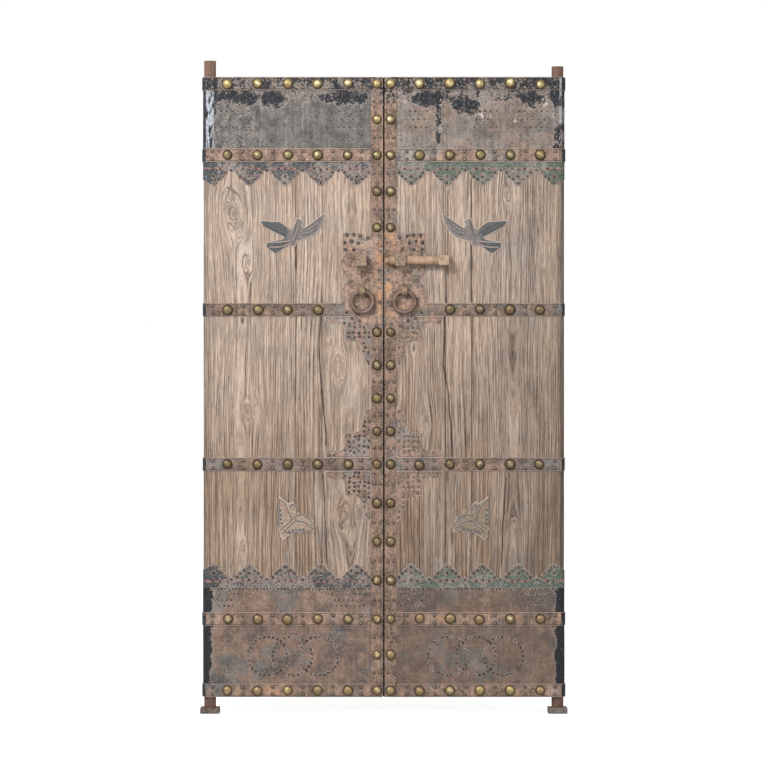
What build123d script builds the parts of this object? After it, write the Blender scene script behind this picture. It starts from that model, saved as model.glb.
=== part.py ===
from build123d import *
import math
import os

# Pair of iron-clad plank leaves that turn on wooden pivots. Sizes in millimetres.
# Origin: floor level, middle of the meeting line and of the leaf thickness. Front is -Y.

# Leaves
leaf_height = 2325
leaf_width = 675
leaf_thickness = 50
leaf_gap = 5
stile_width = 160
plank_middle_width = 98
plank_inner_width = 229

# Pivots
pin_radius = 22.5
left_top_pin_length = 62
right_top_pin_length = 41
bottom_pin_length = 56
toe_length = 14
toe_radius = 13
cup_side = 72
cup_height = 22
cup_floor = 6
cup_play = 0.6
pin_lift = 0.3

# Cross bands and sheet iron
band_height = 50
band_thickness = 3
sheet_thickness = 2
end_pitch = 268
field_count = 3
wrap_return = 36
kick_height = 409
border_strip = 42
lobe_count = 5
lobe_depth = 50
first_tip = 54
last_tip = 39
lobe_half_share = 0.38
shoulder_share = 0.27
shoulder_depth_share = 0.56
bulge_share = 0.365
bulge_depth_share = 0.33

# Edge strap and lock plate
strap_width = 46
strap_thickness = 3
plate_width = 160
plate_height = 352
plate_thickness = 4
plate_below = 64
plate_steps_shares = (
    ((0.306, 0.0),),
    ((0.62, 0.078), (0.875, 0.176)),
    ((1.0, 0.332), (0.769, 0.5)),
    ((0.985, 0.67), (0.888, 0.782)),
    ((0.962, 0.796),),
    ((0.962, 1.0),),
    ((0.506, 1.0),),
    ((0.43, 0.935), (0.306, 1.0)),
    ((0.0, 1.0),),
)

# Corner plates in the angles of strap and bands
corner_width = 172
corner_height = 195
corner_thickness = 2
corner_outline_shares = (
    (0.0, 0.0), (1.0, 0.0), (0.99, 0.09), (0.92, 0.15), (0.83, 0.15), (0.74, 0.12), (0.63, 0.15),
    (0.57, 0.23), (0.57, 0.48), (0.37, 0.48), (0.27, 0.51), (0.21, 0.58), (0.19, 0.7),
    (0.13, 0.87), (0.0, 1.0),
)

# Flat ornaments, outlines from the meeting line outwards and upwards
ornament_thickness = 3
bird_start = 217
bird_level_share = 0.36
bird_width = 251
bird_height = 155
bird_outline_shares = (
    (1.0, 0.82), (0.69, 0.79), (0.52, 0.61), (0.46, 0.76), (0.45, 0.86), (0.4, 0.87),
    (0.32, 0.79), (0.355, 0.71), (0.33, 0.64), (0.12, 0.88), (0.0, 1.0), (0.03, 0.73),
    (0.12, 0.54), (0.19, 0.42), (0.31, 0.35), (0.43, 0.3), (0.46, 0.17), (0.58, 0.2),
    (0.7, 0.04), (0.76, 0.0), (0.9, 0.17), (0.89, 0.3), (0.66, 0.36), (0.63, 0.41),
    (0.78, 0.53), (0.94, 0.66),
)
butterfly_start = 254
butterfly_level_share = 0.51
butterfly_width = 143
butterfly_height = 165
butterfly_outline_shares = (
    (0.96, 1.0), (0.84, 0.91), (0.71, 0.83), (0.63, 0.88), (0.53, 0.79), (0.49, 0.65),
    (0.42, 0.58), (0.26, 0.59), (0.13, 0.5), (0.08, 0.42), (0.16, 0.35), (0.03, 0.19),
    (0.24, 0.19), (0.42, 0.15), (0.58, 0.15), (0.74, 0.09), (0.84, 0.0), (0.95, 0.07),
    (0.92, 0.16), (0.97, 0.23), (1.0, 0.46), (0.94, 0.64), (0.98, 0.8),
)

# Domed studs
stud_radius = 18.5
stud_height = 14
stud_sides = 8
stud_step_share = 0.62
stud_step_radius_share = 0.72
stud_first = 134
stud_last = 66.5
stud_count = 5
stud_clear = 1.5
upper_strap_count = 2
middle_strap_count = 4
lower_strap_count = 3
end_strap_count = 1

# Slide bolt, its staples and the pull rings
bolt_radius = 16
bolt_play = 0.5
bolt_throw = 123
nose_length = 16
nose_radius = 10.5
nose_clear = 1.75
head_length = 38
head_side = 37
bolt_level_share = 0.707
staple_width = 39
staple_depth = 40
staple_wall = 6.5
left_staple_offset = 84
right_staple_offset = 63
ring_radius = 40
ring_bar_radius = 8.5
ring_sides = 20
ring_bar_sides = 8
ring_level_share = 0.378
ring_lift = 3
ring_play = 0.3
left_ring_offset = 81
right_ring_offset = 77
loop_radius = 12
loop_wall = 4
loop_width = 22
loop_sides = 12

# Battens on the back, as far behind the leaf as the bolt staples stand before it
batten_height = 74
batten_groove = 13
batten_flare = 7
batten_proud = plate_thickness + staple_depth
batten_clear = 16.5
batten_count = 4

cut_over = 10

# Derived positions
half_thickness = leaf_thickness / 2
leaf_bottom = cup_floor + pin_lift + bottom_pin_length
leaf_top = leaf_bottom + leaf_height
edge_x = leaf_gap / 2
outer_x = edge_x + leaf_width
pivot_x = outer_x - half_thickness
strap_x = edge_x + strap_width
stile_x = outer_x - stile_width
batten_end = pivot_x - wrap_return - batten_clear
stud_pitch = (pivot_x - stud_last - stud_first) / (stud_count - 1)
lobe_pitch = (outer_x - last_tip - strap_x - first_tip) / (lobe_count - 1)
field_pitch = (leaf_height - band_height - 2 * end_pitch) / field_count
plate_bottom = leaf_top - band_height / 2 - end_pitch - field_pitch - plate_below
plate_top = plate_bottom + plate_height
bolt_z = plate_bottom + plate_height * bolt_level_share
ring_z = plate_bottom + plate_height * ring_level_share
plate_front = half_thickness + plate_thickness
bolt_y = -(plate_front + bolt_play + bolt_radius)
ring_y = -(plate_front + ring_lift + ring_bar_radius)


def band_rows():
    """Heights of the band centres, from the top down."""
    rows = [leaf_top - band_height / 2]
    rows.append(rows[-1] - end_pitch)
    for _ in range(field_count):
        rows.append(rows[-1] - field_pitch)
    rows.append(rows[-1] - end_pitch)
    return rows


def block(x_low, x_high, y_low, y_high, z_low, z_high):
    """Upright block between the given limits."""
    centre = Pos((x_low + x_high) / 2, (y_low + y_high) / 2, (z_low + z_high) / 2)
    return centre * Box(x_high - x_low, y_high - y_low, z_high - z_low)


def traced_face(start, steps):
    """Face inside lines (one point a step) and arcs (a point on the way, then the end)."""
    edges = []
    here = start
    for step in steps:
        if len(step) == 1:
            edges.append(Line(here, step[0]))
        else:
            edges.append(ThreePointArc(here, *step))
        here = step[-1]
    edges.append(Line(here, start))
    return make_face(edges)


def placed_steps(steps, x_start, z_start, width, height):
    """Outline steps given in shares, as points of the front view."""
    placed = []
    for step in steps:
        placed.append([(x_start + width * x, z_start + height * z) for x, z in step])
    return placed


def front_plate(face, back, thickness):
    """Sheet of the given outline whose back stands the given distance before the mid plane."""
    return extrude(Plane.XZ.offset(back) * face, amount=thickness)


def wrapped_sheet(z_low, z_high, back, thickness, full):
    """Sheet on the front from the strap round the outer edge: half way, or in full onto the back."""
    def filled(reach):
        flat = block(strap_x, pivot_x, -reach, reach, z_low, z_high)
        height = z_high - z_low
        return flat + Pos(pivot_x, 0, (z_low + z_high) / 2) * Cylinder(reach, height)

    reach = half_thickness + back
    sheet = filled(reach + thickness)
    inside = block(strap_x - cut_over, pivot_x, -reach, reach, z_low - cut_over, z_high + cut_over)
    core_height = z_high - z_low + 2 * cut_over
    core = Pos(pivot_x, 0, (z_low + z_high) / 2) * Cylinder(reach, core_height)
    open_to = pivot_x - wrap_return if full else outer_x + leaf_thickness
    behind = block(
        strap_x - cut_over, open_to, 0, reach + thickness + cut_over,
        z_low - cut_over, z_high + cut_over,
    )
    return sheet - inside - core - behind


def border(base_z, direction):
    """Scalloped sheet that starts at base_z and grows up (1) or down (-1)."""
    strip = border_strip
    if direction < 0:
        strip = border_strip + band_height / 2
    valley = base_z + direction * strip
    half = lobe_pitch * lobe_half_share
    shoulder = lobe_pitch * shoulder_share
    bulge = lobe_pitch * bulge_share
    shoulder_z = valley + direction * lobe_depth * shoulder_depth_share
    bulge_z = valley + direction * lobe_depth * bulge_depth_share
    tip_z = valley + direction * lobe_depth
    steps = [[(strap_x - cut_over, valley)]]
    for k in range(lobe_count):
        tip = strap_x + first_tip + k * lobe_pitch
        steps.append([(tip - half, valley)])
        steps.append([(tip - bulge, bulge_z)])
        steps.append([(tip - shoulder, shoulder_z)])
        steps.append([(tip, tip_z)])
        steps.append([(tip + shoulder, shoulder_z)])
        steps.append([(tip + bulge, bulge_z)])
        steps.append([(tip + half, valley)])
    far_x = outer_x + lobe_pitch
    steps.append([(far_x, valley)])
    steps.append([(far_x, base_z)])
    face = traced_face((strap_x - cut_over, base_z), steps)
    cutter = front_plate(face, 0, leaf_thickness)
    low = min(base_z, tip_z)
    high = max(base_z, tip_z)
    return wrapped_sheet(low, high, 0, sheet_thickness, False) & cutter


def lock_plate_blank(back, thickness):
    """Lock plate outline as a solid of the given place and thickness."""
    steps = placed_steps(plate_steps_shares, edge_x, plate_bottom, plate_width, plate_height)
    return front_plate(traced_face((edge_x, plate_bottom), steps), back, thickness)


def cut_sheet(shares, x_start, z_start, width, height, thickness):
    """Flat sheet on the boards with straight cuts between the points of its outline."""
    points = [(x_start + width * x, z_start + height * z) for x, z in shares]
    return front_plate(make_face(Polyline(*points, close=True)), half_thickness, thickness)


def corner_plate(base_z, direction):
    """Scalloped sheet in the angle of the strap and a band edge at base_z."""
    height = direction * corner_height
    return cut_sheet(corner_outline_shares, strap_x, base_z, corner_width, height, corner_thickness)


def stud():
    """Domed stud of flat faces that stands on the XZ plane and points to the front."""
    def ring(radius, forward):
        angles = [2 * math.pi * k / stud_sides for k in range(stud_sides)]
        return [(radius * math.cos(a), -forward, radius * math.sin(a)) for a in angles]

    foot = ring(stud_radius, 0)
    step = ring(stud_radius * stud_step_radius_share, stud_height * stud_step_share)
    tip = (0, -stud_height, 0)
    faces = [Face(Wire.make_polygon(foot))]
    for k in range(stud_sides):
        n = (k + 1) % stud_sides
        faces.append(Face(Wire.make_polygon([foot[k], foot[n], step[n], step[k]])))
        faces.append(Face(Wire.make_polygon([step[k], step[n], tip])))
    return Solid(Shell(faces))


def stud_places():
    """Places of all studs of one leaf: distance from the meeting line, height, distance forward."""
    rows = band_rows()
    on_sheet = half_thickness + sheet_thickness + band_thickness
    on_wood = half_thickness + band_thickness
    fronts = (on_sheet, on_sheet, on_wood, on_wood, on_sheet, on_sheet)
    places = []
    for row, (z, front) in enumerate(zip(rows, fronts)):
        for k in range(stud_count):
            if row == 2 and k == 0:
                continue
            places.append((stud_first + k * stud_pitch, z, front))
    levels = [z for row, z in enumerate(rows) if row != 2]
    upper_pitch = (rows[1] - plate_top - stud_clear - stud_radius) / upper_strap_count
    levels += [rows[1] - (k + 1) * upper_pitch for k in range(upper_strap_count)]
    middle_pitch = (plate_bottom - stud_clear - stud_radius - rows[3]) / middle_strap_count
    levels += [rows[3] + (k + 1) * middle_pitch for k in range(middle_strap_count)]
    for top, count in ((0, end_strap_count), (3, lower_strap_count), (4, end_strap_count)):
        pitch = (rows[top] - rows[top + 1]) / (count + 1)
        levels += [rows[top] - (k + 1) * pitch for k in range(count)]
    strap_front = half_thickness + strap_thickness
    for z in levels:
        places.append((edge_x + strap_width / 2, z, strap_front))
    return places


def studs():
    """All studs of one leaf."""
    pattern = stud()
    return Compound(children=[Pos(x, -front, z) * pattern for x, z, front in stud_places()])


def batten(level):
    """Cross batten on the back, dovetailed into the boards."""
    foot = batten_height / 2
    root = foot + batten_flare
    back = half_thickness + batten_proud
    floor = half_thickness - batten_groove
    section = Polyline(
        (floor, level - root), (half_thickness, level - foot), (back, level - foot),
        (back, level + foot), (half_thickness, level + foot), (floor, level + root),
        close=True,
    )
    return extrude(Plane.YZ.offset(edge_x) * make_face(section), amount=batten_end - edge_x)


def pivot_stile(top_pin_length):
    """Outer upright with a half-round edge and a pin at each end."""
    middle = (leaf_bottom + leaf_top) / 2
    flat = block(stile_x, pivot_x, -half_thickness, half_thickness, leaf_bottom, leaf_top)
    upright = flat + Pos(pivot_x, 0, middle) * Cylinder(half_thickness, leaf_height)
    top_z = leaf_top + top_pin_length / 2
    top_pin = Pos(pivot_x, 0, top_z) * Cylinder(pin_radius, top_pin_length)
    neck_length = bottom_pin_length - toe_length
    neck = Pos(pivot_x, 0, leaf_bottom - neck_length / 2) * Cylinder(pin_radius, neck_length)
    toe_z = leaf_bottom - neck_length - toe_length / 2
    toe = Pos(pivot_x, 0, toe_z) * Cone(toe_radius, pin_radius, toe_length)
    return upright + top_pin + neck + toe


def bolt_staple(offset):
    """Square staple with a passage for the bolt."""
    half_width = staple_width / 2
    passage = bolt_radius + bolt_play
    outer = passage + staple_wall
    body = block(
        offset - half_width, offset + half_width, -plate_front - staple_depth, -plate_front,
        bolt_z - outer, bolt_z + outer,
    )
    return body - block(
        offset - half_width - cut_over, offset + half_width + cut_over,
        bolt_y - passage, -plate_front + cut_over, bolt_z - passage, bolt_z + passage,
    )


def ring_staple(offset):
    """Bent strap that the top of the pull ring hangs in."""
    turn = 2 * math.pi / ring_sides
    straight = ring_radius * math.sin(turn / 2)
    bend = max(loop_width / 2 - straight, 0) * math.tan(turn)
    z = ring_z + loop_radius - ring_bar_radius - bend - ring_play
    run = -plate_front - ring_y

    def filled(radius, end):
        leg = Pos(ring_y + end / 2, z) * Rectangle(end, 2 * radius)
        return leg + Pos(ring_y, z) * RegularPolygon(radius, loop_sides, major_radius=False)

    section = filled(loop_radius + loop_wall, run) - filled(loop_radius, run + cut_over)
    return extrude(Plane.YZ.offset(offset - loop_width / 2) * section, amount=loop_width)


def pull_ring(offset):
    """Forged ring, hanging from its staple."""
    half_step = math.pi / ring_sides
    points = []
    for k in range(ring_sides):
        angle = 2 * math.pi * k / ring_sides + half_step
        points.append((ring_radius * math.sin(angle), ring_radius * math.cos(angle)))
    centre = Plane.XZ.offset(-ring_y) * Pos(offset, ring_z - ring_radius * math.cos(half_step))
    path = centre * Polyline(*points, close=True)
    section = Plane(path @ 0, z_dir=path % 0) * RegularPolygon(ring_bar_radius, ring_bar_sides)
    return sweep(section, path=path, transition=Transition.RIGHT)


def slide_bolt():
    """Round bar with a reduced nose and a square head, drawn clear of the other leaf."""
    nose_x = edge_x + nose_clear
    head_x = right_staple_offset + staple_width / 2 + bolt_play + bolt_throw
    profile = Polyline(
        (nose_x, 0), (nose_x, nose_radius), (nose_x + nose_length, nose_radius),
        (nose_x + nose_length, bolt_radius), (head_x, bolt_radius), (head_x, 0), close=True,
    )
    bar = Pos(0, bolt_y, bolt_z) * revolve(make_face(profile), axis=Axis.X)
    half_side = head_side / 2
    front = -plate_front - bolt_play
    head = block(
        head_x, head_x + head_length, front - head_side, front,
        bolt_z - half_side, bolt_z + half_side,
    )
    return bar + head


def pivot_cups():
    """The two iron blocks with a round hollow under the bottom pins."""
    half = cup_side / 2
    cup = block(-half, half, -half, half, 0, cup_height)
    depth = cup_height - cup_floor + cut_over
    cup -= Pos(0, 0, cup_floor + depth / 2) * Cylinder(pin_radius + cup_play, depth)
    return Compound(children=[Pos(side * pivot_x, 0, 0) * cup for side in (-1, 1)])


def leaf(top_pin_length, staple_offset, ring_offset):
    """All pieces of the leaf to the right of the meeting line, by name."""
    rows = band_rows()
    half_band = band_height / 2
    pieces = {"pivot_stile": pivot_stile(top_pin_length)}
    seams = (edge_x, edge_x + plank_inner_width, edge_x + plank_inner_width + plank_middle_width,
             stile_x)
    for name, low, high in zip(("inner", "middle", "outer"), seams, seams[1:]):
        pieces["plank_" + name] = block(
            low, high, -half_thickness, half_thickness, leaf_bottom, leaf_top
        )
    boards = list(pieces)
    for k in range(batten_count):
        bar = batten(rows[k + 1])
        for name in boards:
            pieces[name] -= bar
        pieces["batten_%d" % (k + 1)] = bar

    kick_top = leaf_bottom + kick_height
    pieces["top_sheet"] = wrapped_sheet(rows[1], leaf_top, 0, sheet_thickness, False)
    pieces["kick_sheet"] = wrapped_sheet(leaf_bottom, kick_top, 0, sheet_thickness, False)
    pieces["top_border"] = border(rows[1], -1)
    pieces["bottom_border"] = border(kick_top, 1)

    footprint = lock_plate_blank(0, leaf_thickness)
    for row, z in enumerate(rows):
        on_wood = row in (2, 3)
        back = 0 if on_wood else sheet_thickness
        bar = wrapped_sheet(z - half_band, z + half_band, back, band_thickness, True)
        if row == 2:
            bar -= footprint
        pieces["band_%d" % (row + 1)] = bar

    strap_front = half_thickness + strap_thickness
    strap = block(edge_x, strap_x, -strap_front, -half_thickness, leaf_bottom, leaf_top)
    pieces["edge_strap"] = strap - footprint
    pieces["lock_plate"] = lock_plate_blank(half_thickness, plate_thickness)
    pieces["corner_plate_upper"] = corner_plate(rows[2] - half_band, -1) - footprint
    pieces["corner_plate_middle"] = corner_plate(rows[3] + half_band, 1)
    pieces["corner_plate_lower"] = corner_plate(rows[3] - half_band, -1)
    pieces["bird"] = cut_sheet(
        bird_outline_shares, bird_start, rows[2] + field_pitch * bird_level_share,
        bird_width, bird_height, ornament_thickness,
    )
    pieces["butterfly"] = cut_sheet(
        butterfly_outline_shares, butterfly_start, rows[4] + field_pitch * butterfly_level_share,
        butterfly_width, butterfly_height, ornament_thickness,
    )
    pieces["studs"] = studs()
    pieces["bolt_staple"] = bolt_staple(staple_offset)
    pieces["ring_staple"] = ring_staple(ring_offset)
    pieces["pull_ring"] = pull_ring(ring_offset)
    return pieces


def main():
    """Build both leaves, the bolt and the cups, one file each piece."""
    os.makedirs("parts", exist_ok=True)
    right = leaf(right_top_pin_length, right_staple_offset, right_ring_offset)
    left = leaf(left_top_pin_length, left_staple_offset, left_ring_offset)
    for name, piece in right.items():
        export_step(piece, "parts/right_%s.step" % name)
    for name, piece in left.items():
        export_step(mirror(piece, about=Plane.YZ), "parts/left_%s.step" % name)
    export_step(slide_bolt(), "parts/slide_bolt.step")
    export_step(pivot_cups(), "parts/pivot_cups.step")


main()
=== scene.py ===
"""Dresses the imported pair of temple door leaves: weathered boards, rusty iron, nails and brass studs."""

import math

import bpy
import numpy as np
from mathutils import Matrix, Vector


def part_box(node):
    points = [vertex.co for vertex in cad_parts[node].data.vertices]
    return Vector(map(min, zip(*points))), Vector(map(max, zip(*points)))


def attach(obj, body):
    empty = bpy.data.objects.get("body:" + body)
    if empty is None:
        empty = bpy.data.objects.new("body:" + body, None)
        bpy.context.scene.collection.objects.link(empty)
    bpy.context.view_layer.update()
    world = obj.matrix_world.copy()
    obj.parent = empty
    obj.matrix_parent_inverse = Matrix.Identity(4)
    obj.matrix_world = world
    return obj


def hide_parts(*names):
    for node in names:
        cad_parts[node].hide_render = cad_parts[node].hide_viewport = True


bl_info = {
    "name": "Temple Door Dresser",
    "version": (1, 0, 0),
    "blender": (4, 5, 0),
    "location": "View3D > Sidebar > Temple Door",
    "description": "Builds the weathered boards, ironwork and studs of a pair of temple door leaves",
    "category": "Object",
}

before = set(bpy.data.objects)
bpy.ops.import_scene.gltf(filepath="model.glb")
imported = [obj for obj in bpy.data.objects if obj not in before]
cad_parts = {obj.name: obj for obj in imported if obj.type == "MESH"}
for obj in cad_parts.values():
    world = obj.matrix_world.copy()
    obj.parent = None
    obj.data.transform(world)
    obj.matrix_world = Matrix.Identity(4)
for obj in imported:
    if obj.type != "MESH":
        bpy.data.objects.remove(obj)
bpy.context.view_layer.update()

SIDES = (("left", -1), ("right", 1))
FOOT = float(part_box("left_plank_inner")[0][2])
HEAD = float(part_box("left_plank_inner")[1][2])
BOARD_FRONT = float(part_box("left_plank_inner")[0][1])
OUTER = float(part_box("right_pivot_stile")[1][0])
MEETING = float(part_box("right_plank_inner")[0][0])
STRAP_EDGE = float(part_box("right_edge_strap")[1][0])
STRAP_MIDDLE = float(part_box("right_edge_strap")[0][0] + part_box("right_edge_strap")[1][0]) / 2
ROWS = [float(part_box("right_band_%d" % k)[0][2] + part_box("right_band_%d" % k)[1][2]) / 2 for k in range(1, 7)]
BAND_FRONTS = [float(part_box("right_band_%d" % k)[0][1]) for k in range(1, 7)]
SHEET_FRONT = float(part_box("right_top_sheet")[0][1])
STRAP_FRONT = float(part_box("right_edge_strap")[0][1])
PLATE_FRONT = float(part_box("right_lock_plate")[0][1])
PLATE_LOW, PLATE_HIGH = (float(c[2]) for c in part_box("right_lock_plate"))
STUD_START = 0.134
STUD_PITCH = 0.113
STUD_COLUMNS = [STUD_START + STUD_PITCH * k for k in range(5)]
MM = 0.001
# farther than any distance on the door
FAR = 9.0


# Sizes and colours that a user would change


def length(name, description, value):
    """A length setting of the panel."""
    return bpy.props.FloatProperty(name=name, description=description, default=value, unit="LENGTH")


class DoorSizes(bpy.types.PropertyGroup):
    """Depths and sizes of the worn surfaces."""

    grain_depth: length("Grain depth", "How deep the soft grain is weathered out", 0.0011)
    seam_depth: length("Seam depth", "Depth of the worn joints between boards", 0.0034)
    dent_depth: length("Dent depth", "Waviness of sheets and bands", 0.0014)
    edge_round: length("Edge rounding", "Rounding of forged edges", 0.0009)
    band_nail: length("Band nail", "Head radius of the nails on bands and straps", 0.0076)
    plate_nail: length("Plate nail", "Head radius of the nails on the lock plate", 0.0068)
    small_nail: length("Small nail", "Head radius of the nails on borders and corners", 0.0052)
    dot_nail: length("Dot nail", "Head radius of the nails in rows and rings", 0.0047)


def colour(name, description, value):
    """A colour setting of the panel."""
    return bpy.props.FloatVectorProperty(
        name=name, description=description, subtype="COLOR", size=3, min=0.0, max=1.0, default=value
    )


class DoorColours(bpy.types.PropertyGroup):
    """Colours of wood, iron, paint remains and brass."""

    wood_light: colour("Wood light", "Dry raised grain", (0.63, 0.5, 0.415))
    wood_tan: colour("Wood tan", "Warm wood between the grain lines", (0.54, 0.4, 0.3))
    wood_amber: colour("Wood amber", "Warm streaks low on the boards", (0.47, 0.295, 0.175))
    wood_dark: colour("Wood dark", "Dirt in the grain lines", (0.085, 0.058, 0.043))
    wood_grey: colour("Wood grey", "Weathered silver grey", (0.45, 0.38, 0.33))
    iron_brown: colour("Iron brown", "Old rust film on iron", (0.285, 0.195, 0.15))
    iron_grey: colour("Iron grey", "Bare worn iron", (0.27, 0.235, 0.21))
    rust: colour("Rust", "Bright rust bloom", (0.40, 0.195, 0.085))
    # the black paint colour also serves as painted shade in the gap between the leaves
    black_paint_and_gap_shade: colour("Black paint", "Remains of blue-black paint", (0.015, 0.018, 0.023))
    green_paint: colour("Green paint", "Remains of green paint", (0.105, 0.132, 0.108))
    red_paint: colour("Red paint", "Remains of red paint along edges", (0.38, 0.175, 0.15))
    brass: colour("Brass", "Tarnished brass of the studs", (0.28, 0.21, 0.085))
    brass_brown: colour("Brass brown", "Browned brass of the dirtier studs", (0.2, 0.135, 0.07))
    # the foot colour is dirt, and also painted shade round the foot and brim of each stud
    brass_dirt_and_shade: colour("Brass dirt", "Dirt round the foot of a stud", (0.06, 0.044, 0.028))
    # the crown colour is partly rub and partly a painted highlight
    brass_rub_and_highlight: colour("Brass pale", "Rubbed crown of a stud", (0.6, 0.54, 0.36))
    bolt_tan: colour("Bolt tan", "Rubbed tan iron of the bolt", (0.33, 0.225, 0.15))
    staple_olive: colour("Staple olive", "Olive film on the staples", (0.28, 0.2, 0.13))
    pin_red: colour("Pin red", "Red-brown stain of the pivots", (0.19, 0.105, 0.083))
    bare_edge: colour("Bare edge", "Pale worn metal where paint flakes off", (0.55, 0.45, 0.4))
    # this pale colour serves both as a painted glint on the black paint and as pale flecks of worn paint
    glint_and_fleck_pale: colour("Paint glint", "Chalky wear on old black paint", (0.58, 0.62, 0.66))
    # this dark colour is dirt in the rust pits, and also painted shade at the foot of nail heads and behind bars
    dirt_and_shade_dark: colour("Pit dark", "Dirt in the rust pits", (0.06, 0.047, 0.04))
    blue_film: colour("Blue film", "Thin rest of blue-black paint", (0.066, 0.07, 0.076))
    sheet_brown: colour("Sheet brown", "Dull brown film of the right upper sheet", (0.25, 0.19, 0.155))
    chalk_white: colour("Chalk white", "Pale chalky patches", (0.62, 0.55, 0.51))
    nail_skirt: colour("Nail skirt", "Dirty iron round a nail head", (0.175, 0.13, 0.105))
    sheet_grey: colour("Sheet grey", "Grey-green film of the upper sheet", (0.235, 0.22, 0.203))
    ring_brown: colour("Ring brown", "Red-brown iron of the pull rings", (0.185, 0.108, 0.076))
    bird_grey: colour("Bird grey", "Beaten sheet of the birds", (0.21, 0.18, 0.17))
    bird_dark: colour("Bird dark", "Outer wing and tail of the birds", (0.07, 0.08, 0.079))
    butterfly_tan: colour("Butterfly tan", "Beaten sheet of the butterflies", (0.38, 0.285, 0.215))
    butterfly_olive: colour("Butterfly olive", "Darker sheet of the right butterfly", (0.255, 0.205, 0.145))
    nail_brown: colour("Nail brown", "Rusty nail heads", (0.15, 0.11, 0.088))
    nail_black: colour("Nail black", "Blackened nail heads", (0.045, 0.038, 0.035))
    # the crown colour is partly rub and partly a painted highlight
    nail_rub_and_highlight: colour("Nail crown", "Rubbed crown of a nail head", (0.34, 0.28, 0.24))


# Shader maths


class Wire:
    """An output of a material's nodes that takes part in Python sums."""

    def __init__(self, finish, socket):
        self.finish = finish
        self.socket = socket

    def _sum(self, operation, first, second):
        return self.finish.node("ShaderNodeMath", {"operation": operation}, {0: first, 1: second})

    def __add__(self, other):
        return self._sum("ADD", self, other)

    def __radd__(self, other):
        return self._sum("ADD", other, self)

    def __sub__(self, other):
        return self._sum("SUBTRACT", self, other)

    def __rsub__(self, other):
        return self._sum("SUBTRACT", other, self)

    def __mul__(self, other):
        return self._sum("MULTIPLY", self, other)

    def __rmul__(self, other):
        return self._sum("MULTIPLY", other, self)

    def __truediv__(self, other):
        return self._sum("DIVIDE", self, other)

    def __rtruediv__(self, other):
        return self._sum("DIVIDE", other, self)

    def __abs__(self):
        return self._sum("ABSOLUTE", self, 0.0)


class Finish:
    """A material and the nodes that make it."""

    def __init__(self, name):
        self.material = bpy.data.materials.new(name)
        self.material.use_nodes = True
        self.tree = self.material.node_tree
        self.shader = self.tree.nodes["Principled BSDF"]

    def node(self, kind, settings=None, sockets=None, out=0):
        """Add a node: settings first, then the values or wires of its sockets."""
        made = self.tree.nodes.new(kind)
        for key, value in (settings or {}).items():
            setattr(made, key, value)
        for key, value in (sockets or {}).items():
            if isinstance(value, Wire):
                self.tree.links.new(value.socket, made.inputs[key])
            else:
                made.inputs[key].default_value = value
        return Wire(self, made.outputs[out])

    def place(self):
        """Object coordinates."""
        return self.node("ShaderNodeTexCoord", out="Object")

    def attribute(self, name, out="Fac"):
        """A value kept on the piece's own mesh."""
        return self.node("ShaderNodeAttribute", {"attribute_name": name}, out=out)

    def part(self, vector, axis):
        """One coordinate of a vector."""
        return self.node("ShaderNodeSeparateXYZ", None, {0: vector}, out=axis)

    def stretch(self, vector, factors):
        """Vector scaled by its own factor along each axis."""
        return self.node("ShaderNodeVectorMath", {"operation": "MULTIPLY"}, {0: vector, 1: factors})

    def noise(self, vector, scale=1.0, detail=4.0, roughness=0.55):
        """Noise value round 0.5."""
        sockets = {"Vector": vector, "Scale": scale, "Detail": detail, "Roughness": roughness}
        return self.node("ShaderNodeTexNoise", None, sockets, out="Fac")

    def spots(self, vector, scale):
        """Distance to the nearest of scattered points."""
        return self.node("ShaderNodeTexVoronoi", None, {"Vector": vector, "Scale": scale}, out="Distance")

    def step(self, value, low, high):
        """Smooth step from 0 at low to 1 at high."""
        settings = {"interpolation_type": "SMOOTHSTEP"}
        return self.node("ShaderNodeMapRange", settings, {0: value, 1: low, 2: high})

    def mix(self, first, second, factor, blend="MIX"):
        """Colour between two colours."""
        settings = {"data_type": "RGBA", "blend_type": blend}
        sockets = {0: factor}
        for key, value in ((6, first), (7, second)):
            sockets[key] = value if isinstance(value, Wire) else (*value, 1.0)
        return self.node("ShaderNodeMix", settings, sockets, out=2)

    def shade(self, tint, value):
        """Colour made lighter or darker by a value round 1."""
        grey = self.node("ShaderNodeCombineColor", None, {0: value, 1: value, 2: value})
        return self.mix(tint, grey, 1.0, "MULTIPLY")

    def close(self, tint, roughness, metallic, height, distance, gloss):
        """Link the shader and give back the material."""
        self.shader.inputs["Specular IOR Level"].default_value = gloss
        sockets = {"Strength": 1.0, "Distance": distance, "Height": height}
        normal = self.node("ShaderNodeBump", None, sockets, out="Normal")
        looks = {"Base Color": tint, "Roughness": roughness, "Metallic": metallic, "Normal": normal}
        for key, value in looks.items():
            if isinstance(value, Wire):
                self.tree.links.new(value.socket, self.shader.inputs[key])
            else:
                self.shader.inputs[key].default_value = value
        return self.material


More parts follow.
